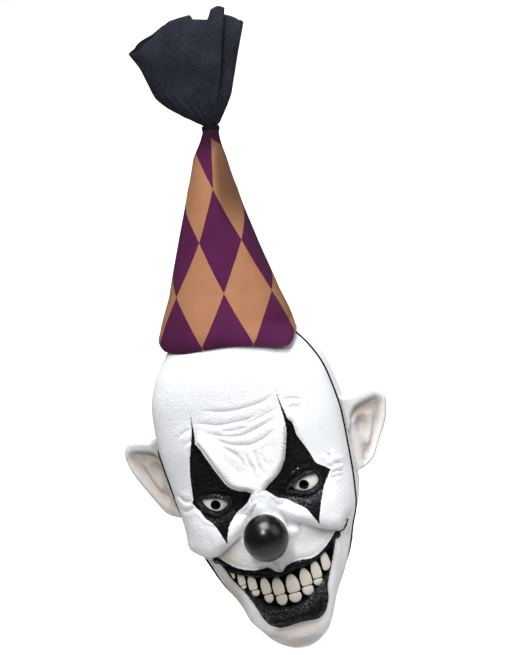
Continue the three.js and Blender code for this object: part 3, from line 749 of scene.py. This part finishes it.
# back of the mask: the other half of the sections from the neck rim to the crown, fuller at nape and temples,
# with a rolled rim at the neck and a lining one wall further in
backGrid = {"columns": 145, "rows": 121, "nape": (-32.0, 22.0, 4.0), "temple": (10.0, 62.0, 3.4),
            "templeTurn": ((0.3, 0.75), (0.82, 1.0)), "tilt": (95.0, 165.0), "rim": (2.0, 2.5, 1.2)}


def buildBack(finish):
    rows, columns = backGrid["rows"], backGrid["columns"]
    at = spacedRows(float(rowAtHeight(headForm["neck"])), 0, rows)
    section = headSection(at[:, None])
    z, side = section["z"], section["side"]
    angle = np.linspace(np.pi / 2, -np.pi / 2, columns)[None, :]
    start = section["seam"] + headForm["gap"]
    reach = np.maximum(section["back"] - start, 0)
    turned = np.abs(angle) / (np.pi / 2)
    byTemple = within(turned, *backGrid["templeTurn"])
    outer = halfSections(z, side, start, reach, angle, headForm["backPower"])
    for key, share in (("nape", np.sin(2 * angle) ** 2), ("temple", byTemple)):
        level, high, raised = backGrid[key]
        outer[..., 0] += np.sign(angle) * raised * bell(z - level, high) * share
    tilt = smoothstep(z, *backGrid["tilt"])[..., None]
    normal = levelNormals(outer, side, start, reach) * (1 - tilt) + np.array([0, 0, 1.0]) * tilt
    inner = outer - headForm["wall"] * normal
    closeLining(inner, outer, side)
    above, width, raised = backGrid["rim"]
    outer = outer + (raised * bell(outer[..., 2:] - headForm["neck"] - above, width)) * normal
    count = rows * columns
    index = np.arange(count).reshape(rows, columns)
    border = np.concatenate([index[0, :-1], index[:-1, -1], index[-1, :0:-1], index[:0:-1, 0]])
    after = np.roll(border, -1)
    rims = np.stack([after, border, border + count, after + count], -1)
    faces = np.concatenate([gridFaces(rows, columns), gridFaces(rows, columns, count)[:, ::-1], rims])
    values = {"ink": withLining(jointDistance(outer) - facePaint["seamWidth"], -2.0, count),
              "hollow": np.zeros(2 * count), "lining": withLining(np.zeros(count), 1.0, count)}
    allPoints = np.concatenate([outer, inner]).reshape(-1, 3)
    makePiece("headBack", allPoints, faces.tolist(), finish, "head_back", values=values)


# ear: a fan of rays from the root to the outline, front and back skins joined at the rim;
# the front carries the rolled helix, the ridge inside it and the hollows
earForm = {
    "outline": [(-4, -17.5), (3, -16.5), (9, -15.5), (16, -13), (22, -8), (26.5, 0), (32, 10), (37.5, 20.5),
                (41.5, 31), (43.5, 41), (43.8, 47), (42.4, 53), (38.5, 58.5), (31, 62), (22, 62), (12, 60.5),
                (4, 61), (-4, 62.5)],
    "root": 61.0, "direction": (0.93, 0.36), "sink": 1.0, "centre": (-4.0, 24.0), "half": 2.4,
    "rimReach": 2.6, "lobe": {1: 2.5, -1: -5.0}, "lobeRange": (-8.0, 44.0), "start": (5.0, 12.5),
    "rays": 141, "steps": 49,
    "helix": [(5, 39), (8, 44.5), (14, 48.5), (22, 50.5), (31, 51.5), (36, 49), (37, 42), (34.5, 32),
              (30, 22), (25.5, 12), (20.5, 3), (15, -4)],
    "helixRoll": 4.4, "helixEdge": (-2.4, 3.0), "helixRim": (-3.0, 4.0), "helixDip": (-2.6, 2.4, 1.6),
    "ridge": [(27, 42), (25, 33), (22, 22), (19, 12), (16, 6)], "ridgeRoll": (3.8, 1.5),
    "ridgeEnds": ((0.0, 0.2), (0.85, 1.0)), "crus": [(8, 35), (14, 38), (21, 38)], "crusRoll": (2.6, 1.0),
    "pits": {"concha": (15.5, 29.0, 6.0, 8.0, 6.5), "notch": (14.5, 3.0, 3.4, 7.0, 2.6),
             "fossa": (19.0, 44.0, 12.0, 6.0, 4.2), "scapha": (29.0, 34.0, 5.0, 14.0, 2.4)},
    "pitBack": 1.05, "flare": (4.5, 5.0), "cup": (18.0, 22.0, 16.0, 24.0, 2.2),
    "shadeAndMottle": {1: 0.48, -1: 0.78}, "litHelix": (45.0, 53.0),
}


def buildEar(side, finish):
    outline = smoothStroke(earForm["outline"], 12)
    outline[:, 1] += earForm["lobe"][side] * (1 - smoothstep(outline[:, 1], *earForm["lobeRange"]))
    lengths = lengthAlong(outline)
    at = np.linspace(0, lengths[-1], earForm["rays"])
    share = np.sin(np.linspace(0, np.pi / 2, earForm["steps"]))[:, None]
    out, z = (middle + share * (np.interp(at, lengths, ends) - middle)
              for middle, ends in zip(earForm["centre"], outline.T))
    rim = lineDistance(outline, out, z)[0]
    gap, onSide, _ = lineDistance(smoothStroke(earForm["helix"]), out, z)
    beyond = gap * onSide
    place, width, deep = earForm["helixDip"]
    roll = earForm["helixRoll"] * smoothstep(beyond, *earForm["helixEdge"])
    roll = roll * smoothstep(rim, *earForm["helixRim"]) - deep * bell(beyond - place, width)
    gap, _, along = lineDistance(smoothStroke(earForm["ridge"]), out, z)
    width, height = earForm["ridgeRoll"]
    roll += height * bell(gap, width) * within(along, *earForm["ridgeEnds"])
    width, height = earForm["crusRoll"]
    roll += height * bell(lineDistance(smoothStroke(earForm["crus"]), out, z)[0], width)
    started = smoothstep(out, *earForm["start"])
    pits = started * sum(mound(out, z, *pit) for pit in earForm["pits"].values())
    roll -= pits
    root = smoothstep(out, earForm["centre"][0], 0.0)
    flare = earForm["flare"][0] * np.exp(-np.maximum(out, 0) / earForm["flare"][1])
    inward = np.clip(rim / earForm["rimReach"], 0, 1)
    thin = np.sqrt(inward * (2 - inward))
    half = earForm["half"] * thin * root
    cup = mound(out, z, *earForm["cup"])
    front = cup - half - (roll * thin + flare * 0.5) * root
    back = cup + half + (pits * earForm["pitBack"] + flare) * root * thin
    hold = headSection(rowAtHeight(z))["side"] - earForm["sink"]
    dx, dy = earForm["direction"]
    skins = [np.stack([side * (hold + out * dx - skin * dy), earForm["root"] + out * dy + skin * dx, z], -1)
             for skin in (front, back)]
    points = np.concatenate([skins[0], skins[1][::-1]])
    # painted shade in the ear: stronger on the ear at the viewer's left, where less light falls, lighter on
    # the lit top of the helix, darker near the root under the helix and in the hollows of the relief
    litHelix = smoothstep(z, *earForm["litHelix"]) * smoothstep(beyond, -1.5, 1.5) * started
    hollow = earForm["shadeAndMottle"][side] * (1 - 0.45 * litHelix)
    hollow += 0.3 * (1 - smoothstep(out, 0, 8)) * smoothstep(z, 45, 60)
    hollow += np.clip(0.22 - roll * 0.11, 0, 0.5) * smoothstep(-beyond, -2, 3) * started
    values = {"ink": np.full(points.shape[:2], 9.0), "lining": np.zeros(points.shape[:2]),
              "hollow": np.concatenate([hollow, np.zeros_like(hollow)])}
    name = "leftEar" if side > 0 else "rightEar"
    gridPiece(name, points, finish, "head_back", values=values)


# 1 along a tube, drawn to 0 over a few steps at both ends
def taper(count, steps):
    place = np.arange(count)
    return np.minimum(1, np.minimum(place, place[::-1]) / steps)[:, None]


# black cord in the joint of front and back: a round section carried up one side, over the crown and down the
# other; on the viewer's left it stands out a little more below the temple and is sunk above it
cordForm = {"radius": 1.1, "out": 0.35, "sunk": 1.7, "leftOut": 0.9, "sinkRange": (50.0, 60.0),
            "ends": (-103.0, -93.0), "taper": 9.0, "steps": 401, "around": 13}


def buildCord(finish):
    left, right = rowAtHeight(cordForm["ends"])
    at = np.linspace(-left, right, cordForm["steps"])[:, None]
    section = headSection(np.abs(at))
    sinking = smoothstep(section["z"], *cordForm["sinkRange"])
    sunk = (at < 0) * ((cordForm["sunk"] + cordForm["leftOut"]) * sinking - cordForm["leftOut"])
    x = np.sign(at) * (section["side"] + cordForm["out"] - sunk)
    middle = np.concatenate([x, section["seam"], section["z"]], -1)
    forward = unitVectors(np.gradient(middle, axis=0))
    ahead = unitVectors(np.array([0.0, 1.0, 0.0]) - forward * forward[:, 1:2])
    outward = np.cross(forward, ahead)
    turn = np.linspace(0, 2 * np.pi, cordForm["around"])[None, :, None]
    thick = cordForm["radius"] * taper(len(at), cordForm["taper"])[..., None]
    points = middle[:, None] + thick * (np.cos(turn) * ahead[:, None] + np.sin(turn) * outward[:, None])
    gridPiece("seamCord", points, finish, "face_front", np.zeros((*points.shape[:2], 2)))


# eye piece: an arc out from the pupil hole and back behind it, turned round the line of sight;
# lids and rolls of the face are measured from the same ball
eyeForm = {"spacing": 87.4, "height": -1.5, "front": 1.5, "radius": 24.0, "cap": 15.0, "pupil": 4.6,
           "wall": 2.0, "lid": 3.0, "behind": 3.4, "turnIn": (-1.0, 0.9), "lidReach": (14.0, 19.0),
           "rollReach": (17.0, 24.0), "rolls": [(2.4, 1.7, 1.5), (6.0, 1.4, -0.9), (9.5, 2.2, 1.0)],
           "arcSteps": 14, "around": 65}


def eyeOffset(x, z):
    return np.hypot(np.abs(x) - eyeForm["spacing"] / 2, z - eyeForm["height"])


def eyeDepth(x, z):
    out = np.minimum(eyeOffset(x, z), eyeForm["radius"] * 0.98)
    return eyeForm["front"] + eyeForm["radius"] - np.sqrt(eyeForm["radius"] ** 2 - out ** 2)


def buildEye(side, finish):
    out = np.linspace(eyeForm["pupil"], eyeForm["cap"], eyeForm["arcSteps"])
    arcs = [np.stack([out, np.sqrt((eyeForm["radius"] - wall) ** 2 - out ** 2)], -1)
            for wall in (0, eyeForm["wall"])]
    radius, reach = np.split(wallRows(*arcs), 2, -1)
    turn = np.linspace(0, 2 * np.pi, eyeForm["around"])
    points = np.stack(np.broadcast_arrays(side * eyeForm["spacing"] / 2 + radius * np.cos(turn),
                                          eyeForm["front"] + eyeForm["radius"] - reach,
                                          eyeForm["height"] + radius * np.sin(turn)), -1)
    values = {"rim": np.broadcast_to(radius - eyeForm["pupil"], points.shape[:2])}
    name, node = ("leftEye", "left_eye") if side > 0 else ("rightEye", "right_eye")
    gridPiece(name, points, finish, node, values=values)


def eyeSurface(wire):
    cloud = objectNoise(wire, 300, 3)
    edge = attribute(wire, "rim").ramp(0.0, 0.7)
    # the whites grow darker towards the lids: painted shade
    outer = attribute(wire, "rim").ramp(5.5, 10.5)
    white = (outer * 0.6 + (cloud - 0.5) * 0.3).mix(colour(238, 232, 224), colour(206, 194, 183))
    base = edge.mix(colour(70, 60, 54), white)
    return {"Base Color": base, "Roughness": 0.28 + (cloud - 0.5) * 0.1, "Coat Weight": 0.3,
            "Normal": bump(wire, cloud, 0.0001, 0.4)}


# nose: a ball whose back is pressed level on the face's seat
noseForm = {"centre": (0.0, -26.0, -37.0), "radii": (21.5, 21.5, 23.0), "seat": -10.0, "pressed": 1.2,
            "seatLean": 7.0, "leanTop": -18.0, "seatReach": (15.0, 20.0), "grid": (49, 97)}


def buildNose(finish):
    rows, columns = noseForm["grid"]
    up = np.linspace(-np.pi / 2, np.pi / 2, rows)[:, None]
    turn = np.linspace(0, 2 * np.pi, columns)[None, :]
    ball = np.broadcast_arrays(np.cos(up) * np.cos(turn), -np.sin(up), np.cos(up) * np.sin(turn))
    points = np.array(noseForm["centre"]) + np.stack(ball, -1) * np.array(noseForm["radii"])
    points[..., 1] = np.minimum(points[..., 1], noseForm["seat"] + noseForm["pressed"])
    gridPiece("noseBall", points, finish, "nose_ball")


def noseSurface(wire):
    scuff = objectNoise(wire, 180, 5, 0.6)
    fine = objectNoise(wire, 900, 2)
    base = scuff.ramp(0.5, 0.85).mix(colour(4, 4, 6), colour(26, 28, 33))
    return {"Base Color": base, "Roughness": 0.27 + (scuff - 0.5) * 0.3, "Specular IOR Level": 0.6,
            "Normal": bump(wire, fine * 0.4 + scuff * 0.6, 0.0002, 0.5)}


# teeth: middle of each on the portrait plane, its width, gum end and bite; each is a profile from the middle
# of its front over the edge to the back, carried round an outline that is a pointed oval at the gum and
# square at the bite
teethForm = {
    "upper": [(-45, 3.6, -60.5, -72.5), (-38, 7.0, -67, -80.8), (-29, 8.4, -72.5, -88),
              (-17.5, 9.2, -78, -95), (-6, 11.0, -81, -98.6), (8, 12.6, -81.5, -100),
              (21.5, 11.2, -79.5, -97), (33, 9.6, -75, -93), (44, 8.6, -68, -87.7)],
    "lower": [(-37.6, 5.0, -84.6, -81.3), (-28, 7.6, -94.5, -88.5), (-17, 8.6, -104, -95.5),
              (-5.5, 10.6, -109.5, -99.1), (7.5, 12.2, -110, -100.6), (21, 11.0, -106.5, -97.5),
              (32.5, 9.2, -99.8, -93.4)],
    "front": 0.4, "arch": 0.0042, "bulge": 1.5, "depth": 8.0, "cornerDepth": 2.8, "cornerRange": (12.0, 36.0),
    "setBack": {"upper": 0.0, "lower": 0.5}, "gumPower": 1.85, "bitePower": 5.0, "middle": 0.4, "around": 49,
    "faceShare": (0.9, 9), "faceRound": (0.35, 2.5), "edgeShares": (0.96, 0.99, 1.0, 1.0, 0.9, 0.5, 0.0),
    "edgeRound": (0.45, 0.7, 1.0),
}


def tooth(middle, width, gumEnd, bite, setBack):
    turn = np.linspace(0, 2 * np.pi, teethForm["around"])[None, :]
    across, along = np.sin(turn), np.cos(turn)
    gumSide = along > 0
    power = np.where(gumSide, teethForm["gumPower"], teethForm["bitePower"])
    size = (np.abs(across) ** power + np.abs(along) ** power) ** (-1 / power)
    centre = bite + (gumEnd - bite) * teethForm["middle"]
    face = np.linspace(0, *teethForm["faceShare"])
    height, curve = teethForm["faceRound"]
    share = np.append(face, teethForm["edgeShares"])[:, None]
    rounded = np.append(height * face ** curve, teethForm["edgeRound"])
    cornered = smoothstep(abs(middle), *teethForm["cornerRange"])
    back = teethForm["depth"] + (teethForm["cornerDepth"] - teethForm["depth"]) * cornered
    depth = np.append(teethForm["bulge"] * rounded, [back] * (len(share) - len(rounded)))
    portraitX = middle + share * size * across * width / 2
    portraitZ = centre + share * size * along * np.where(gumSide, gumEnd - centre, centre - bite)
    y = teethForm["front"] + setBack + teethForm["arch"] * portraitX ** 2 + depth[:, None]
    return fromPortrait(portraitX, portraitZ, y), (portraitZ - bite) / (gumEnd - bite)


def buildTeeth(row, finish):
    made = [tooth(*place, teethForm["setBack"][row]) for place in teethForm[row]]
    shape = made[0][0].shape[:2]
    points = np.concatenate([points.reshape(-1, 3) for points, _ in made])
    gum = np.concatenate([gum.ravel() for _, gum in made])
    faces = np.concatenate([gridFaces(*shape, k * shape[0] * shape[1]) for k in range(len(made))])
    values = {"gum": gum}
    makePiece(row + "Teeth", points, faces.tolist(), finish, row + "_teeth", values=values)


def toothSurface(wire):
    stain = objectNoise(wire, 160, 4, 0.6)
    gum = attribute(wire, "gum").ramp(0.55, 1.02)
    base = (gum * 0.45 + (stain - 0.45) * 0.5).mix(colour(216, 208, 197), colour(178, 165, 150))
    return {"Base Color": base, "Roughness": 0.42 + (stain - 0.5) * 0.2, "Specular IOR Level": 0.35,
            "Normal": bump(wire, stain, 0.0002, 0.5)}


# hat and topknot stand in their own leaning frame: x right, y away from the viewer, s along the hat;
# cone: radius and sideways shift from the rows, lower edge from the hem or where the cone leaves the head
hatForm = {
    "grid": (81, 193), "seat": (-3.0, 68.4, 133.5), "lean": (-13.7, 8.6, 9.9), "top": 206.0, "wall": 1.6,
    "roll": 4.0, "rollHeight": 9.0, "spreadHeight": 24.0, "rowPower": 1.25,
    "rows": [(-14, 67.5, 0), (0, 66.5, 0), (15, 65, 0.5), (50, 53, 0.5), (100, 38, -1.5), (150, 23.8, -3.7),
             (180, 16, -3.5), (200, 8.8, -1.2), (206, 8.2, -0.5)],
    "hem": [(-180, 0, 0), (-90, 0, 0), (-70, -3, 0), (-45, -6, 0), (0, -2, 4), (30, -4, 14), (50, -6, 26),
            (65, -5, 37), (78, -1, 44), (90, 9, 38), (110, 18, 0), (180, 0, 0)],
    "hemRange": (-14.0, 120.0), "hemSteps": 269, "hemInset": 2.5, "hemClear": 0.015, "hemSmooth": 9,
    "lozengeWidth": 50.0, "lozengeTaper": 0.099, "lozengeStart": 48.5, "lozengeLength": 100.0,
    "lozengeTurn": 50.0, "crossing": 148.5, "pull": 0.06, "pullStart": 100.0, "foldSlope": 0.09,
    "foldDepth": 1.8, "tuck": 0.55, "foldRange": ((150.0, 172.0), (196.0, 206.0)), "foldTurn": 100.0,
    "waves": (0.7, 3, 0.035), "waveRange": ((0.0, 40.0), (150.0, 200.0)), "frontTurn": (95.0, 165.0),
}
hatTurn = np.array(Euler(np.radians(hatForm["lean"]).tolist(), "ZYX").to_matrix())


def fromHat(points):
    return points @ hatTurn.T + np.array(hatForm["seat"])


def buildHat(finish):
    rows, columns = hatForm["grid"]
    degrees = np.linspace(-180, 180, columns)
    turn = np.radians(degrees)
    hem = lookUp(hatForm["hem"], degrees, 1)
    spread = lookUp(hatForm["hem"], degrees, 2)

    def cone(s, hem, inset):
        radius = lookUp(hatForm["rows"], s, 1) - inset
        shift = lookUp(hatForm["rows"], s, 2)
        forward = spread * np.maximum(1 - (s - hem) / hatForm["spreadHeight"], 0)
        return np.stack([shift + radius * np.sin(turn), -radius * np.cos(turn) - forward, s], -1)

    # the hem is lifted where the head would stand out of the cloth
    levels = np.linspace(*hatForm["hemRange"], hatForm["hemSteps"])[::-1, None] * np.ones((1, columns))
    clear = outsideHead(fromHat(cone(levels, hem, hatForm["hemInset"]))) > hatForm["hemClear"]
    lowest = np.where(clear.all(0), hatForm["hemRange"][0], levels[np.argmin(clear, 0), np.arange(columns)])
    hem = np.maximum(hem, lowest)
    smooth = hatForm["hemSmooth"]
    hem = np.convolve(np.pad(hem[:-1], smooth // 2, mode="wrap"), np.ones(smooth) / smooth, "valid")
    hem = np.append(hem, hem[0])
    s = hem + (hatForm["top"] - hem) * np.linspace(0, 1, rows)[:, None] ** hatForm["rowPower"]
    edge = np.radians(hatForm["lozengeTurn"])  # straight lozenges in front, even steps round the back
    across = np.sin(np.clip(turn, -edge, edge)) + np.cos(edge) * (turn - np.clip(turn, -edge, edge))
    unit = hatForm["lozengeWidth"] - hatForm["lozengeTaper"] * s
    sideways = lookUp(hatForm["rows"], s, 1) * across + lookUp(hatForm["rows"], s, 2)
    sideways += hatForm["pull"] * np.maximum(s - hatForm["pullStart"], 0)
    above = np.maximum(s - hatForm["crossing"], 0)
    beyond = sideways - hatForm["foldSlope"] * above  # how far right of the fold under the gathered neck
    turned = 1 - smoothstep(degrees, *hatForm["frontTurn"])
    tucked = above * (unit / hatForm["lozengeLength"] - hatForm["foldSlope"])
    tucked = (tucked - hatForm["tuck"] * beyond * smoothstep(above, 0, 30)) * (beyond > 0) * turned
    roll = hatForm["roll"] * np.maximum(1 - (s - hem) / hatForm["rollHeight"], 0) ** 2
    fold = hatForm["foldDepth"] * smoothstep(beyond, -0.4, 1.2) * np.exp(-np.maximum(beyond, 0) / 10)
    fold = fold * within(s, *hatForm["foldRange"]) * (np.abs(degrees) < hatForm["foldTurn"])
    height, count, twist = hatForm["waves"]
    soft = height * np.sin(turn * count + s * twist) * within(s, *hatForm["waveRange"])
    inset = roll + fold + soft
    points = fromHat(wallRows(cone(s, hem, inset), cone(s, hem, inset + hatForm["wall"])))
    along = (s - hatForm["lozengeStart"]) / hatForm["lozengeLength"]
    pattern = np.stack([(sideways + tucked) / unit, along], -1)
    # painted shade: darker on the right of the cone and along its right edge, on its right above the fold,
    # and all round the gathered neck
    paintedHatShade = 0.4 * smoothstep(degrees, 52, 84) + 0.25 * smoothstep(degrees, 30, 62) * smoothstep(s, 50, 90)
    paintedHatShade = np.maximum(0.62 * smoothstep(beyond, -3, 9) * smoothstep(s, 95, 150), paintedHatShade)
    paintedHatShade = np.maximum(paintedHatShade * turned, 0.72 * smoothstep(s, 170, 200))
    hat = gridPiece("hatCone", points, finish, "hat_cone", wallRows(pattern, pattern),
                    {"paintedHatShade": wallRows(paintedHatShade, paintedHatShade)})


# purple and tan lozenges: the colour turns over at every whole step of the two slanted counts
def hatSurface(wire):
    place, across, along = patternPlace(wire)
    wobble = (objectNoise(wire, 90, 2) - 0.5) * 0.012
    first = wire.maths("FLOOR", across + along + wobble)
    second = wire.maths("FLOOR", across - along + wobble)
    odd = wire.maths("FLOORED_MODULO", first + second, 2.0)
    weave, weft = (wire.make("ShaderNodeTexWave", {"wave_type": "BANDS", "bands_direction": direction},
                             {"Vector": place, "Scale": scale, "Distortion": 0.6, "Detail": 1.0})
                   for direction, scale in (("X", 30.0), ("Y", 46.0)))
    faded = objectNoise(wire, 55, 4, 0.6)
    pale = faded.ramp(0.35, 0.75) * 0.7
    purple = pale.mix(colour(77, 24, 63), colour(87, 31, 71))
    tan = pale.mix(colour(168, 118, 86), colour(158, 110, 79))
    cloth = (weave * weft * 0.12).mix(odd.mix(tan, purple), colour(34, 14, 26))
    # the cloth turns to deep purple where the painted shade lies
    base = attribute(wire, "paintedHatShade").mix(cloth, colour(16, 8, 12))
    return {"Base Color": base, "Roughness": 0.82 + (faded - 0.5) * 0.15, "Specular IOR Level": 0.12,
            "Normal": bump(wire, weave + weft, 0.00025, 0.6)}


# gathered cloth: levels of half width, half depth and sideways place, opening from the stem to a ragged top
# edge; pleats and folds grow as it opens
topknotForm = {
    "grid": (91, 241), "wall": 1.2, "opens": (210.0, 262.0),
    "rows": [(192, 5, 5, -0.5), (209.2, 6.2, 6.2, -0.5), (213, 11, 8.5, -2), (220, 18.8, 12, -6.3),
             (230, 28.8, 16, -11.3), (240, 36.3, 19, -14.3), (255, 41.8, 22, -15.8), (270, 46.8, 24, -17.3),
             (283, 52.9, 25.5, -20), (305, 59.7, 27, -21.2), (323, 64.5, 28, -22)],
    "rim": [(-90, 284), (-60, 284.5), (-45, 289), (-30, 296.5), (-20, 305), (-10, 311.5), (0, 314), (10, 316),
            (12, 311.5), (26, 310), (28.5, 319.5), (33, 322.5), (36, 321), (55, 313.5), (63, 308),
            (80, 306.5), (90, 306), (105, 305), (120, 307), (135, 309), (150, 311.5), (170, 312), (187, 314),
            (197, 310), (210, 302.5), (225, 296.5), (240, 289.5), (255, 286), (270, 284)],
    "pleats": 9, "pleatDepth": 0.03, "gathers": 23, "gatherDepth": 0.03,
    "gatherRange": ((207, 216), (222, 262)),
    "folds": [(37, 5, 8.0), (50, 7, -9.0), (66, 9, 3.0), (-34, 12, 3.0), (-8, 12, -2.5)], "foldUnit": 60.0,
    "chevron": 0.72, "ribs": 44.0, "slant": 22.0,
}


def buildTopknot(finish):
    rows, columns = topknotForm["grid"]
    degrees = np.linspace(-90, 270, columns)
    turn = np.radians(degrees)
    rim = np.interp(degrees, *np.transpose(topknotForm["rim"]))
    stem = topknotForm["rows"][0][0]
    s = stem + (rim - stem) * np.linspace(0, 1, rows)[:, None]
    wide, deep, shift = (lookUp(topknotForm["rows"], s, column) for column in (1, 2, 3))
    pleats = topknotForm["pleatDepth"] * (1 - np.cos(topknotForm["pleats"] * (turn + np.pi / 2)))
    folds = sum(raised * bell(degrees - middle, width) for middle, width, raised in topknotForm["folds"])
    ripple = folds / topknotForm["foldUnit"] - pleats * np.cos(turn) ** 2
    gather = topknotForm["gatherDepth"] * np.sin(turn * topknotForm["gathers"])
    size = 1 + ripple * smoothstep(s, *topknotForm["opens"]) + gather * within(s, *topknotForm["gatherRange"])
    outer, inner = (np.stack([shift + (wide * size - inset) * np.sin(turn),
                              -(deep * size - inset) * np.cos(turn), s], -1)
                    for inset in (0.0, topknotForm["wall"]))
    pattern = np.stack(np.broadcast_arrays(lengthAlong(outer[-1]), s), -1) / 100
    values = {"lining": wallRows(np.zeros(s.shape), np.ones(s.shape))}
    knot = gridPiece("gatheredTop", fromHat(wallRows(outer, inner)), finish, "topknot",
                     wallRows(pattern, pattern), values)


def topknotSurface(wire):
    _, around, along = patternPlace(wire)
    faded = objectNoise(wire, 45, 3)
    fineSpecks = objectNoise(wire, 420, 2)
    offset = wire.maths("ABSOLUTE", around - topknotForm["chevron"])
    count = along * topknotForm["ribs"] - offset * topknotForm["slant"] + (faded - 0.5) * 3
    ribs = wire.maths("PINGPONG", count, 0.5) * 2
    threads = wire.maths("PINGPONG", around * topknotForm["ribs"] + (fineSpecks - 0.5), 0.5) * 2
    # lighter towards the top edge: painted highlight
    paintedTopLight = along.ramp(2.75, 3.15)
    # the ribs are lighter: painted sheen, with random mottle
    ribSheenAndMottle = ribs * (threads * 0.5 + 0.45) + (faded - 0.5) * 0.8 + (fineSpecks - 0.5) * 0.5
    ribSheenAndMottle = ribSheenAndMottle + paintedTopLight * 0.22 - 0.06
    cloth = ribSheenAndMottle.mix(colour(8, 8, 12), colour(55, 60, 73))
    # the lining is darker: painted shade inside the opened top
    base = attribute(wire, "lining").mix(cloth, colour(20, 18, 20))
    return {"Base Color": base, "Roughness": 0.85 + (faded - 0.5) * 0.15, "Specular IOR Level": 0.15,
            "Normal": bump(wire, ribs, 0.0004, 0.7)}


# thread: a round section carried along a few turns of a helix round the neck, its ends drawn to points
tieForm = {"radius": 8.0, "thread": 0.75, "turns": 3, "level": 205.6, "pitch": 1.25, "shift": -0.5,
           "taper": 4.0, "grid": (241, 13)}


def buildTie(finish):
    steps, around = tieForm["grid"]
    turn = np.linspace(0, 2 * np.pi * tieForm["turns"], steps)[:, None]
    ring = np.linspace(0, 2 * np.pi, around)[None, :]
    thick = tieForm["thread"] * taper(steps, tieForm["taper"])
    radius = tieForm["radius"] + thick * np.cos(ring)
    s = tieForm["level"] + tieForm["pitch"] * turn / (2 * np.pi) + thick * np.sin(ring)
    points = fromHat(np.stack([tieForm["shift"] + radius * np.cos(turn), radius * np.sin(turn), s], -1))
    pattern = np.stack(np.broadcast_arrays(turn * tieForm["radius"], ring), -1)
    gridPiece("neckTie", points, finish, "neck_tie", pattern)


def threadSurface(wire):
    twist = wire.make("ShaderNodeTexWave", {"wave_type": "BANDS", "bands_direction": "DIAGONAL"},
                      {"Vector": patternPlace(wire)[0], "Scale": 0.6})
    base = twist.mix(colour(6, 6, 8), colour(18, 18, 21))
    return {"Base Color": base, "Roughness": 0.85 + twist * 0.1, "Specular IOR Level": 0.15,
            "Normal": bump(wire, twist, 0.0003, 0.7)}


latex = makeFinish("whiteLatex", latexSurface)
eyeWhite = makeFinish("eyeWhite", eyeSurface)
ivory = makeFinish("toothIvory", toothSurface)
thread = makeFinish("blackThread", threadSurface)
buildFace(latex)
buildBack(latex)
for side in (1, -1):
    buildEar(side, latex)
for side in (1, -1):
    buildEye(side, eyeWhite)
buildNose(makeFinish("noseBlack", noseSurface))
for row in ("upper", "lower"):
    buildTeeth(row, ivory)
buildHat(makeFinish("harlequinCloth", hatSurface))
buildTopknot(makeFinish("blackCloth", topknotSurface))
buildTie(thread)
buildCord(thread)
print("pieces built")

# plain pale floor and soft studio light
studio = {
    "floor": -2.2, "floorSize": 90.0, "world": 0.13, "worldTint": (1.0, 0.95, 0.9, 1.0),
    "floorTints": ((0.93, 0.93, 0.93, 1), (0.96, 0.96, 0.96, 1)),
}
lamps = {
    "softbox": {"place": (0.5, -1.1, 2.8), "aim": (0, 0, -0.05), "size": 2.0, "watts": 130.0,
                "tint": (0.97, 0.985, 1.0)},
    "front": {"place": (0.1, -3.1, 2.3), "aim": (0, 0, -0.05), "size": 0.5, "watts": 64.0,
              "tint": (0.98, 0.99, 1.0)},
    "right": {"place": (2.8, -0.8, 1.2), "aim": (0, 0, -0.05), "size": 2.0, "watts": 16.0,
              "tint": (1.0, 1.0, 1.0)},
    "floorLamp": {"place": (0.5, 11.0, 5.0), "aim": (0.5, 13.0, -2.2), "size": 12.0, "watts": 1700.0,
                  "tint": (1.0, 1.0, 1.0)},
}


def floorSurface(wire):
    return {"Base Color": objectNoise(wire, 0.4, 1).mix(*studio["floorTints"]), "Roughness": 0.95}


def buildStudio():
    half = studio["floorSize"] / 2
    corners = [(x * half, y * half, studio["floor"]) for x, y in ((-1, -1), (1, -1), (1, 1), (-1, 1))]
    mesh = bpy.data.meshes.new("floor")
    mesh.from_pydata(corners, [], [(0, 1, 2, 3)])
    mesh.materials.append(makeFinish("paleFloor", floorSurface))
    floor = bpy.data.objects.new("floor", mesh)
    scene.collection.objects.link(floor)
    world = bpy.data.worlds.new("studio")
    world.use_nodes = True
    sky = world.node_tree.nodes["Background"].inputs
    sky["Color"].default_value = studio["worldTint"]
    sky["Strength"].default_value = studio["world"]
    scene.world = world
    for name, lamp in lamps.items():
        data = bpy.data.lights.new(name, "AREA")
        data.size = lamp["size"]
        data.energy = lamp["watts"]
        data.color = lamp["tint"]
        light = bpy.data.objects.new(name, data)
        light.location = lamp["place"]
        light.rotation_euler = (Vector(lamp["aim"]) - light.location).to_track_quat("-Z", "Y").to_euler()
        scene.collection.objects.link(light)
    scene.view_settings.view_transform = "Standard"


buildStudio()
print("studio lit")
